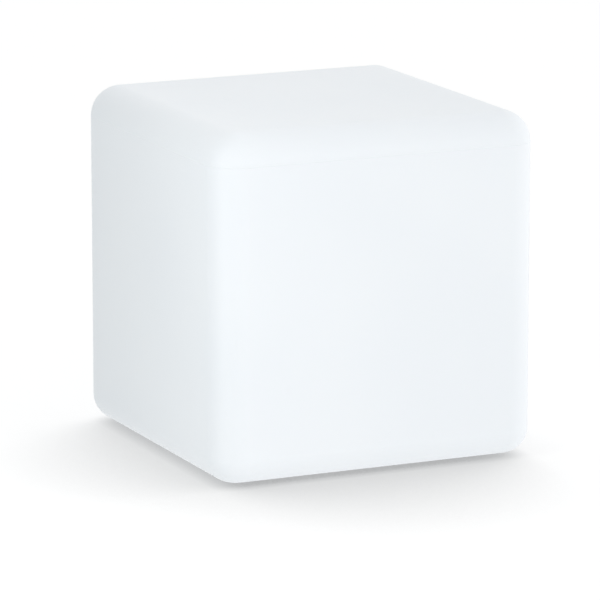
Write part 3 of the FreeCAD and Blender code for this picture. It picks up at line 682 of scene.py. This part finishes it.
def makeGrainGroup():
    # fine and coarse moulded or sprayed texture: a height for bump and a slow tone
    numbers = {"Fine": 900.0, "Coarse": 40.0, "Coarse Share": 0.4}
    group, given, out = newGroup("mouldGrain", numbers, ["Coords"], ["Height", "Tone"])
    heights = []
    for label, detail in (("Fine", 2), ("Coarse", 3)):
        values = {"Scale": given[label], "Detail": detail}
        heights.append(addTexture(group, "ShaderNodeTexNoise", given["Coords"], values)["Fac"])
    height = blendNumbers(group, given["Coarse Share"], *heights)
    setInputs(group, out, {"Height": height, "Tone": heights[1]})
    return group


def makeScuffGroup():
    # a few thin, short scratches, in patches
    group, given, out = newGroup("lightScuffs", {"Scale": 30.0, "Amount": 0.3}, ["Coords"], ["Mask"])
    stretch = {"Rotation": skins["scuffTurn"], "Scale": skins["scuffStretch"]}
    along = addTexture(group, "ShaderNodeMapping", given["Coords"], stretch)["Vector"]
    lines = addTexture(group, "ShaderNodeTexNoise", along, {"Detail": 4, "Scale": given["Scale"]})["Fac"]
    thin = between(group, lines, *skins["scuffEdge"])
    patch = addTexture(group, "ShaderNodeTexNoise", given["Coords"], {"Scale": skins["patchScale"]})["Fac"]
    where = between(group, patch, *skins["patchEdge"])
    setInputs(group, out, {"Mask": calculate(group, "MULTIPLY", thin, where, given["Amount"])})
    return group


def makeDustGroup():
    # fine dust that settles on what faces up, in uneven patches
    group, given, out = newGroup("settledDust", {"Amount": 0.3}, ["Coords", "Normal"], ["Mask"])
    facing = between(group, partsOf(group, given["Normal"])["Z"], *skins["dustFacing"])
    cloud = addNoise(group, given["Coords"], skins["dustScale"], 5, 0.6)
    patchy = between(group, cloud, *skins["dustEdge"])
    setInputs(group, out, {"Mask": calculate(group, "MULTIPLY", facing, patchy, given["Amount"])})
    return group


grainGroup, scuffGroup, dustGroup = makeGrainGroup(), makeScuffGroup(), makeDustGroup()


# white polyethylene of the cube: waxy, satin, faintly uneven
polyethylene = {
    "colour": (0.878, 0.909, 0.940),
    "shade": (0.863, 0.896, 0.930),
    "scuffColour": (0.80, 0.82, 0.84),
    "roughness": (0.40, 0.48),
    "grain": {"Fine": 620.0, "Coarse": 95.0, "Coarse Share": 0.45},
    "scuffs": {"Scale": 26.0, "Amount": 0.10},
    "hollows": 5.5,             # scale of the slow hollows in the faces
    "sink": 0.0006,             # how deep they are
    "peel": 0.000018,           # depth of the fine skin texture
    "light": {"IOR": 1.51, "Subsurface Weight": 0.08, "Subsurface Radius": (1.0, 0.95, 0.9),
              "Subsurface Scale": 0.004},
}


def makePolyethylene():
    values = polyethylene
    finish, tree, shader = newFinish("whitePolyethylene")
    coords = objectCoords(tree)
    grain = useGroup(tree, grainGroup, coords, values["grain"])
    scuffs = useGroup(tree, scuffGroup, coords, values["scuffs"])["Mask"]
    slow = addNoise(tree, coords, values["hollows"], 1.5)
    body = blendColours(tree, between(tree, slow, 0.3, 0.7), values["colour"], values["shade"])
    rough = between(tree, grain["Tone"], 0.3, 0.7, *values["roughness"])
    waves = bumpFrom(tree, slow, values["sink"])
    setInputs(tree, shader, {
        "Base Color": blendColours(tree, scuffs, body, values["scuffColour"]),
        "Roughness": calculate(tree, "ADD", rough, scuffs),
        "Normal": bumpFrom(tree, grain["Height"], values["peel"], waves),
        **values["light"],
    })
    return finish


# moulded plastics and rubbers: fine is grains per metre, depth is metres
plastics = {
    "rubberBlack": {"colour": (0.030, 0.030, 0.032), "shade": (0.042, 0.042, 0.043), "roughness": 0.62,
                    "fine": 1300.0, "depth": 0.00002, "dust": 0.25, "scuff": 0.35},
    "softCapRubber": {"colour": (0.040, 0.041, 0.043), "shade": (0.052, 0.053, 0.055), "roughness": 0.55,
                      "fine": 1500.0, "depth": 0.000015, "scuff": 0.3},
    "siliconeGrey": {"colour": (0.32, 0.34, 0.36), "shade": (0.36, 0.38, 0.40), "roughness": 0.5,
                     "fine": 1700.0, "depth": 0.000012},
    "buttonGrey": {"colour": (0.32, 0.34, 0.36), "shade": (0.36, 0.38, 0.40), "roughness": 0.5,
                   "fine": 1700.0, "depth": 0.000012},
    "siliconeRed": {"colour": (0.42, 0.06, 0.035), "shade": (0.48, 0.08, 0.05), "roughness": 0.42,
                    "fine": 1200.0, "depth": 0.000012},
    "sparkedAbs": {"colour": (0.78, 0.80, 0.81), "shade": (0.765, 0.785, 0.798), "roughness": 0.5,
                   "fine": 1400.0, "depth": 0.00003, "scuff": 0.2},
    "glossBlack": {"colour": (0.018, 0.018, 0.020), "shade": (0.026, 0.026, 0.028), "roughness": 0.28,
                   "fine": 800.0, "depth": 0.000006, "coat": 0.3},
    "epoxyBlack": {"colour": (0.030, 0.030, 0.031), "shade": (0.040, 0.040, 0.041), "roughness": 0.55,
                   "fine": 2400.0, "depth": 0.00001},
    "nylonCream": {"colour": (0.80, 0.77, 0.68), "shade": (0.75, 0.72, 0.62), "roughness": 0.4,
                   "fine": 1200.0, "depth": 0.00001},
    "tintedLens": {"colour": (0.50, 0.72, 0.52), "shade": (0.44, 0.66, 0.46), "roughness": 0.12,
                   "fine": 900.0, "depth": 0.000004, "coat": 0.6},
    "leadSleeve": {"colour": (0.030, 0.030, 0.033), "shade": (0.045, 0.045, 0.048), "roughness": 0.38,
                   "fine": 1800.0, "depth": 0.000008},
    "shrinkFilm": {"colour": (0.020, 0.085, 0.260), "shade": (0.028, 0.105, 0.300), "roughness": 0.22,
                   "fine": 330.0, "depth": 0.00006, "coat": 0.4},
}
dustColour = (0.46, 0.44, 0.41)


def makePlastic(name, colour, shade, roughness, fine, depth, dust=0.0, coat=0.0, scuff=0.15):
    # moulded plastic with a spark-eroded or polished skin
    finish, tree, shader = newFinish(name)
    coords = objectCoords(tree)
    grain = useGroup(tree, grainGroup, coords, {"Fine": fine, "Coarse": fine / 11, "Coarse Share": 0.3})
    scuffs = useGroup(tree, scuffGroup, coords, {"Scale": 60.0, "Amount": scuff})["Mask"]
    body = blendColours(tree, between(tree, grain["Tone"], 0.3, 0.7), colour, shade)
    pale = tuple(min(1, c * 0.8 + 0.12) for c in colour)
    body = blendColours(tree, scuffs, body, pale)
    rough = between(tree, grain["Tone"], 0.3, 0.7, roughness - 0.04, roughness + 0.06)
    if dust:
        layer = useGroup(tree, dustGroup, coords, {"Amount": dust, "Normal": shadingNormal(tree)})["Mask"]
        body = blendColours(tree, layer, body, dustColour)
        rough = calculate(tree, "ADD", rough, calculate(tree, "MULTIPLY", layer, 0.3))
    setInputs(tree, shader, {
        "Base Color": body,
        "Roughness": rough,
        "Normal": bumpFrom(tree, grain["Height"], depth),
        "Coat Weight": coat,
        "Coat Roughness": 0.12,
    })
    return finish


def fillSign(finish):
    # the engraved power sign is filled with a pale colour
    tree = finish.node_tree
    shader = tree.nodes["Principled BSDF"]
    body = shader.inputs["Base Color"].links[0].from_socket
    coords = objectCoords(tree)
    floor = (button["face"] + button["dish"]) * millimetre
    depth = button["signDepth"] * millimetre
    inSign = between(tree, partsOf(tree, coords)["Z"], floor + depth * 0.3, floor + depth * 0.5)
    flat = addNode(tree, "ShaderNodeVectorMath", operation="MULTIPLY")
    onPlan = setInputs(tree, flat, {0: coords, 1: (1, 1, 0)})[0]
    away = addNode(tree, "ShaderNodeVectorMath", operation="DISTANCE")
    reach = setInputs(tree, away, {0: onPlan, 1: (*millimetres(*button["at"]), 0)})["Value"]
    face = button["radius"] * millimetre
    onFace = between(tree, reach, face * 0.85, face * 0.8)
    sign = calculate(tree, "MULTIPLY", inSign, onFace)
    setInputs(tree, shader, {"Base Color": blendColours(tree, sign, body, button["signColour"])})


# plated and drawn metals
metals = {
    "zincPlate": {"colour": (0.66, 0.67, 0.69), "shade": (0.56, 0.575, 0.60), "roughness": 0.30},
    "nickelStrip": {"colour": (0.70, 0.68, 0.64), "shade": (0.60, 0.585, 0.55), "roughness": 0.26,
                    "streak": (1, 1, 9), "scale": 300.0},
    "drawnWire": {"colour": (0.60, 0.61, 0.63), "shade": (0.50, 0.51, 0.53), "roughness": 0.24,
                  "streak": (1, 1, 5), "scale": 700.0},
}


def makeMetal(name, colour, shade, roughness, streak=(1, 1, 1), scale=260.0):
    # fine streaks, cloudy plating and handling marks
    finish, tree, shader = newFinish(name)
    coords = objectCoords(tree)
    along = addTexture(tree, "ShaderNodeMapping", coords, {"Scale": streak})["Vector"]
    fine = addNoise(tree, along, scale, 4, 0.6)
    cloud = addNoise(tree, coords, 130, 3, 0.55)
    scuffs = useGroup(tree, scuffGroup, coords, {"Scale": 90.0, "Amount": 0.2})["Mask"]
    body = blendColours(tree, between(tree, cloud, 0.35, 0.65), colour, shade)
    rough = between(tree, fine, 0.3, 0.7, roughness - 0.07, roughness + 0.09)
    setInputs(tree, shader, {
        "Base Color": blendColours(tree, scuffs, body, tuple(c * 0.7 for c in shade)),
        "Roughness": calculate(tree, "ADD", rough, scuffs),
        "Normal": bumpFrom(tree, fine, 0.000006),
        "Metallic": 1.0,
    })
    return finish


# threaded inserts
brass = {
    "colour": (0.78, 0.57, 0.26),
    "shade": (0.66, 0.46, 0.20),
    "roughness": (0.24, 0.38),
    "slants": (0.9, -0.9),
    "knurlScale": 420,
    "knurlDepth": 0.00012,
}


def makeBrass():
    # two sets of slanted lines cross into a knurl
    finish, tree, shader = newFinish("turnedBrass")
    coords = objectCoords(tree)
    waves = []
    for slant in brass["slants"]:
        turned = addTexture(tree, "ShaderNodeMapping", coords, {"Rotation": (slant, slant, 0.5)})["Vector"]
        scale = {"Scale": brass["knurlScale"]}
        waves.append(addTexture(tree, "ShaderNodeTexWave", turned, scale, wave_type="BANDS")["Fac"])
    cloud = addNoise(tree, coords, 160, 3)
    knurl = calculate(tree, "MULTIPLY", *waves)
    setInputs(tree, shader, {
        "Base Color": blendColours(tree, between(tree, cloud, 0.35, 0.65), brass["colour"], brass["shade"]),
        "Roughness": between(tree, cloud, 0.3, 0.7, *brass["roughness"]),
        "Normal": bumpFrom(tree, knurl, brass["knurlDepth"]),
        "Metallic": 1.0,
    })
    return finish


# circuit boards: solder mask over raised copper tracks, with tinned dots
boards = {
    "greenSolderMask": {"mask": (0.012, 0.120, 0.045), "trace": (0.022, 0.175, 0.065), "scale": 46,
                        "roughness": 0.32},
    "whiteSolderMask": {"mask": (0.84, 0.85, 0.84), "trace": (0.76, 0.77, 0.76), "scale": 30,
                        "roughness": 0.4},
}
tinColour = (0.72, 0.72, 0.70)


def makeBoard(name, mask, trace, scale, roughness):
    finish, tree, shader = newFinish(name)
    coords = objectCoords(tree)
    mortar = {"Scale": scale, "Mortar Size": 0.012, "Mortar Smooth": 0.1}
    blocks = addTexture(tree, "ShaderNodeTexBrick", coords, mortar)["Fac"]
    cells = addTexture(tree, "ShaderNodeTexVoronoi", coords, {"Scale": scale * 1.7}, distance="CHEBYCHEV")
    tracks = between(tree, cells["Distance"], 0.30, 0.34)
    dots = addTexture(tree, "ShaderNodeTexVoronoi", coords, {"Scale": scale * 2.3})
    tin = between(tree, dots["Distance"], 0.14, 0.12)
    body = blendColours(tree, calculate(tree, "MAXIMUM", tracks, blocks), mask, trace)
    cloud = addNoise(tree, coords, 120, 3)
    setInputs(tree, shader, {
        "Base Color": blendColours(tree, tin, body, tinColour),
        "Metallic": calculate(tree, "MULTIPLY", tin, 0.9),
        "Roughness": between(tree, cloud, 0.3, 0.7, roughness - 0.06, roughness + 0.06),
        "Normal": bumpFrom(tree, calculate(tree, "ADD", tracks, tin), 0.00004),
    })
    return finish


# light-emitting diodes: white bodies with a yellow phosphor well in the top
diodes = {
    "body": (0.86, 0.86, 0.83),
    "phosphor": (0.86, 0.62, 0.10),
    "phosphorPale": (0.95, 0.76, 0.22),
    "wellTop": (0.0002, 0.00025),       # metres below the top of the lamps, from outside to inside
    "wellFloor": (0.0006, 0.00055),
    "speckScale": 2600,
}


def makeDiodes():
    finish, tree, shader = newFinish("lampPhosphor")
    coords = objectCoords(tree)
    level = partsOf(tree, coords)["Z"]
    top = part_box("leds")[1].z
    inWell, aboveFoot = [between(tree, level, top - diodes[key][0], top - diodes[key][1])
                         for key in ("wellTop", "wellFloor")]
    up = between(tree, partsOf(tree, shadingNormal(tree))["Z"], 0.7, 0.9)
    well = calculate(tree, "MULTIPLY", inWell, aboveFoot, up)
    speck = addNoise(tree, coords, diodes["speckScale"], 2)
    phosphor = blendColours(tree, speck, diodes["phosphor"], diodes["phosphorPale"])
    setInputs(tree, shader, {
        "Base Color": blendColours(tree, well, diodes["body"], phosphor),
        "Roughness": between(tree, speck, 0.3, 0.7, 0.30, 0.42),
        "Normal": bumpFrom(tree, speck, 0.00001),
        "Coat Weight": 0.3,
    })
    return finish


# wrapped cells with bare ends, and board components with bare tops; limits are in metres
cellLow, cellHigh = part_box("battery_cells")
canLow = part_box("coil_and_capacitors")[0]
banded = {
    "cellWrap": {"axis": "X", "inner": (0.030, 0.170, 0.330), "outer": (0.66, 0.66, 0.65),
                 "limits": (cellLow.x + 0.0008, cellHigh.x - 0.0008), "roughness": 0.3},
    "boardComponents": {"axis": "Z", "inner": (0.045, 0.047, 0.055), "outer": (0.62, 0.63, 0.64),
                        "limits": (canLow.z - 0.001, canLow.z + 0.0078), "roughness": 0.35},
}


def makeBanded(name, axis, inner, outer, limits, roughness):
    # one finish for the middle of a piece and bare metal past two places along an axis
    finish, tree, shader = newFinish(name)
    coords = objectCoords(tree)
    along = partsOf(tree, coords)[axis]
    soft = 0.00005
    low = between(tree, along, limits[0] + soft, limits[0] - soft)
    high = between(tree, along, limits[1] - soft, limits[1] + soft)
    ends = calculate(tree, "MAXIMUM", low, high)
    cloud = addNoise(tree, coords, 90, 3)
    body = blendColours(tree, between(tree, cloud, 0.3, 0.7), inner, tuple(c * 0.86 for c in inner))
    wrinkles = addNoise(tree, coords, 240, 2)
    setInputs(tree, shader, {
        "Base Color": blendColours(tree, ends, body, outer),
        "Metallic": ends,
        "Roughness": between(tree, cloud, 0.3, 0.7, roughness - 0.05, roughness + 0.08),
        "Normal": bumpFrom(tree, wrinkles, 0.00003),
    })
    return finish


# opal diffuser: milky, satin outside
opal = {
    "colour": (0.90, 0.91, 0.92),
    "shade": (0.87, 0.885, 0.90),
    "roughness": (0.30, 0.38),
    "grain": {"Fine": 1500.0, "Coarse": 60.0, "Coarse Share": 0.3},
    "depth": 0.000008,
    "light": {"Subsurface Weight": 0.5, "Subsurface Scale": 0.006},
}


def makeOpal():
    finish, tree, shader = newFinish("opalDiffuser")
    grain = useGroup(tree, grainGroup, objectCoords(tree), opal["grain"])
    tone = between(tree, grain["Tone"], 0.3, 0.7)
    setInputs(tree, shader, {
        "Base Color": blendColours(tree, tone, opal["colour"], opal["shade"]),
        "Roughness": between(tree, grain["Tone"], 0.3, 0.7, *opal["roughness"]),
        "Normal": bumpFrom(tree, grain["Height"], opal["depth"]),
        **opal["light"],
    })
    return finish


# clear light pipe with a lightly moulded skin
acrylic = {
    "colour": (0.95, 0.97, 0.97),
    "shade": (0.90, 0.93, 0.94),
    "roughness": (0.04, 0.12),
    "flowScale": 300,
    "depth": 0.00001,
    "light": {"IOR": 1.49, "Transmission Weight": 1.0},
}


def makeAcrylic():
    finish, tree, shader = newFinish("clearAcrylic")
    flow = addNoise(tree, objectCoords(tree), acrylic["flowScale"], 2)
    setInputs(tree, shader, {
        "Base Color": blendColours(tree, flow, acrylic["colour"], acrylic["shade"]),
        "Roughness": between(tree, flow, 0.3, 0.7, *acrylic["roughness"]),
        "Normal": bumpFrom(tree, flow, acrylic["depth"]),
        **acrylic["light"],
    })
    return finish


# black cell foam, with painted shade: the pits of the pores are coloured darker than the cell walls
foam = {
    # colour is the painted shade in the pits of the pores; shade is the paler colour of the cell walls
    "colour": (0.05, 0.052, 0.055),
    "shade": (0.20, 0.205, 0.21),
    "roughness": (0.95, 0.85),
    "poreScale": 1100,
    "depth": 0.0002,
}


def makeFoam():
    finish, tree, shader = newFinish("cellFoam")
    pores = addTexture(tree, "ShaderNodeTexVoronoi", objectCoords(tree), {"Scale": foam["poreScale"]})
    # pore mask, low in the pits: there the colour is painted dark as shade, and the bump is lowest
    hollow = between(tree, pores["Distance"], 0.15, 0.5)
    setInputs(tree, shader, {
        "Base Color": blendColours(tree, hollow, foam["colour"], foam["shade"]),
        "Roughness": between(tree, hollow, 0, 1, *foam["roughness"]),
        "Normal": bumpFrom(tree, hollow, foam["depth"]),
    })
    return finish


def paint(piece, finish):
    piece.data.materials.clear()
    piece.data.materials.append(finish)


def paintNodes(finish, *names):
    for name in names:
        node = cadNodes[name]
        for slot in node.material_slots:
            slot.material = finish
        if not node.material_slots:
            node.data.materials.append(finish)


finishes = {
    "whitePolyethylene": makePolyethylene(),
    "turnedBrass": makeBrass(),
    "lampPhosphor": makeDiodes(),
    "opalDiffuser": makeOpal(),
    "clearAcrylic": makeAcrylic(),
    "cellFoam": makeFoam(),
}
tables = ((makePlastic, plastics), (makeMetal, metals), (makeBoard, boards), (makeBanded, banded))
for makeFinish, table in tables:
    for name, values in table.items():
        finishes[name] = makeFinish(name, **values)
fillSign(finishes["buttonGrey"])

# which finish each piece from the CAD has
paintedWith = {
    "whitePolyethylene": ["shell"],
    "sparkedAbs": ["base_tray", "button_retainer"],
    "zincPlate": ["foot_screws", "unit_screws", "light_board_screws", "control_screws", "clamp_screws",
                  "battery_clamp", "socket_nut"],
    "turnedBrass": ["threaded_inserts"],
    "cellFoam": ["base_seal", "battery_pad"],
    "opalDiffuser": ["diffuser_dome"],
    "siliconeRed": ["dome_seal", "button_seal"],
    "whiteSolderMask": ["light_board"],
    "lampPhosphor": ["leds"],
    "greenSolderMask": ["control_board", "protection_board"],
    "epoxyBlack": ["driver_chips"],
    "boardComponents": ["coil_and_capacitors"],
    "nylonCream": ["board_headers", "lead_plugs"],
    "glossBlack": ["switch_body", "charge_socket"],
    "siliconeGrey": ["power_button", "switch_plunger"],
    "tintedLens": ["indicator_led"],
    "cellWrap": ["battery_cells"],
    "shrinkFilm": ["battery_sleeve"],
    "nickelStrip": ["battery_tabs", "socket_contacts"],
    "drawnWire": ["button_spring"],
    "clearAcrylic": ["light_pipe"],
    "leadSleeve": ["battery_leads", "charge_leads", "light_leads"],
    "softCapRubber": ["port_cap", "cap_anchor"],
    "rubberBlack": list(footPlaces()),
}
for name, pieces in paintedWith.items():
    paintNodes(finishes[name], *pieces)
print("CAD pieces finished:", len(cadNodes))

paint(shellPiece, finishes["whitePolyethylene"])
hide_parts("shell")
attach(shellPiece, "cube")

for name, piece in footPieces.items():
    paint(piece, finishes["rubberBlack"])
    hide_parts(name)
    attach(piece, "cube")

paint(buttonPiece, finishes["buttonGrey"])
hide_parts("power_button")
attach(buttonPiece, "button")

paint(springPiece, finishes["drawnWire"])
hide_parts("button_spring")
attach(springPiece, "cube")
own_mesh(springPiece)

paint(capPiece, finishes["softCapRubber"])
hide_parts("port_cap")
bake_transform(capPiece)
print("new pieces riding")


# studio: floor, sky light and lamps, in metres
studio = {
    "floorSize": 40.0,
    "floorColour": 0.5,
    "floorGlow": 0.56,                  # added to the floor so that it reaches white
    "shadowReach": 0.42,                # how far round the object its soft shadow shows on the floor
    "shadowSamples": 16,
    "shadowFrom": (0.28, 0.72, 1.0),    # the side that the light comes from
    "shadowDepth": (0.48, 0.64),        # what is left in the deepest shadow, and how fast it clears
    "contactDepth": (0.36, 0.14),       # the extra dark right under the edge, and how far it reaches
    "skyAbove": 1.095,
    "skyBelow": 1.0,
    "skyHorizon": 0.15,                 # half the height of the change between them
    "skyLeftDim": 0.325,                # the sky is this much dimmer on the left
    "skyLeftReach": (-0.1, -0.7),
    "skyLeftTint": (0.97, 1.0, 1.0),
    "skyFlag": (-0.55, -0.1, 0.8),      # a dark flag hangs this way, over the left edge
    "skyFlagDim": 0.26,
    "skyFlagReach": (0.3, 0.95),
    "lamps": {
        "rightSoftbox": {"power": 2.6, "size": (1.6, 1.2), "at": (0.85, -1.95, 0.75),
                         "towards": (0.1, 0.0, 0.22)},
        "leftStrip": {"power": 1.17, "size": (0.3, 1.2), "at": (-0.62, -0.36, 0.35),
                      "towards": (-0.2, -0.15, 0.25)},
    },
}


def makeFloor():
    # its shadow is drawn from how much of the sky the object hides; from behind the floor is clear
    clearSelection()
    bpy.ops.mesh.primitive_plane_add(size=studio["floorSize"], location=(0, 0, 0))
    floor = settle(bpy.context.object, "studioFloor")
    finish = bpy.data.materials.new("studioFloorWhite")
    finish.use_nodes = True
    tree = finish.node_tree
    tree.nodes.clear()

    leaning = addNode(tree, "ShaderNodeCombineXYZ")
    setInputs(tree, leaning, dict(enumerate(Vector(studio["shadowFrom"]).normalized())))
    near = addNode(tree, "ShaderNodeAmbientOcclusion", samples=studio["shadowSamples"])
    setInputs(tree, near, {"Distance": studio["shadowReach"], "Normal": leaning.outputs[0]})
    openness = near.outputs["AO"]
    left, clearing = studio["shadowDepth"]
    soft = between(tree, openness, 0.0, (1 - left) / clearing, left, 1.0, smooth=False)
    deepest, reach = studio["contactDepth"]
    shade = calculate(tree, "MULTIPLY", soft, between(tree, openness, 0.0, reach, deepest, 1.0))

    diffuse = addNode(tree, "ShaderNodeBsdfDiffuse")
    setInputs(tree, diffuse, {"Color": calculate(tree, "MULTIPLY", shade, studio["floorColour"])})
    glow = addNode(tree, "ShaderNodeEmission")
    setInputs(tree, glow, {"Strength": calculate(tree, "MULTIPLY", shade, studio["floorGlow"])})
    both = setInputs(tree, addNode(tree, "ShaderNodeAddShader"), {0: diffuse.outputs[0], 1: glow.outputs[0]})
    clear = addNode(tree, "ShaderNodeBsdfTransparent").outputs[0]
    under = addNode(tree, "ShaderNodeNewGeometry").outputs["Backfacing"]
    choose = setInputs(tree, addNode(tree, "ShaderNodeMixShader"), {0: under, 1: both[0], 2: clear})
    setInputs(tree, addNode(tree, "ShaderNodeOutputMaterial"), {"Surface": choose[0]})
    paint(floor, finish)
    floor.visible_diffuse = floor.visible_glossy = False
    floor.visible_transmission = floor.visible_shadow = False


def makeSky():
    # white where it is seen, and shaded from side to side where it lights
    world = bpy.data.worlds.new("studioSky")
    bpy.context.scene.world = world
    world.use_nodes = True
    tree = world.node_tree
    coords = addNode(tree, "ShaderNodeTexCoord").outputs["Generated"]
    parts = partsOf(tree, coords)
    horizon = studio["skyHorizon"]
    level = between(tree, parts["Z"], -horizon, horizon, studio["skyBelow"], studio["skyAbove"])
    leftwards = between(tree, parts["X"], *studio["skyLeftReach"])
    dimmed = between(tree, leftwards, 0, 1, 1.0, 1.0 - studio["skyLeftDim"], smooth=False)
    lean = addNode(tree, "ShaderNodeVectorMath", operation="DOT_PRODUCT")
    towardsFlag = tuple(Vector(studio["skyFlag"]).normalized())
    nearFlag = setInputs(tree, lean, {0: coords, 1: towardsFlag})["Value"]
    flagged = between(tree, nearFlag, *studio["skyFlagReach"], 1.0, 1.0 - studio["skyFlagDim"])
    level = calculate(tree, "MULTIPLY", level, dimmed, flagged)

    rays = addNode(tree, "ShaderNodeLightPath").outputs
    kinds = ("Is Camera Ray", "Is Transmission Ray", "Is Glossy Ray")
    seen = calculate(tree, "MAXIMUM", *(rays[kind] for kind in kinds))
    unseen = calculate(tree, "SUBTRACT", 1.0, seen)
    tinted = calculate(tree, "MULTIPLY", leftwards, unseen)
    setInputs(tree, tree.nodes["Background"], {
        "Strength": blendNumbers(tree, seen, level, 1.0),
        "Color": blendColours(tree, tinted, (1.0, 1.0, 1.0), studio["skyLeftTint"]),
    })


def makeLamp(name, values):
    bpy.ops.object.light_add(type="AREA", location=values["at"])
    light = bpy.context.object
    light.name = name
    light.data.shape = "RECTANGLE"
    light.data.size, light.data.size_y = values["size"]
    light.data.energy = values["power"]
    aim = Vector(values["towards"]) - Vector(values["at"])
    light.rotation_mode = "QUATERNION"
    light.rotation_quaternion = aim.to_track_quat("-Z", "Y")


makeFloor()
makeSky()
for lampName, lampValues in studio["lamps"].items():
    makeLamp(lampName, lampValues)
print("studio lit")
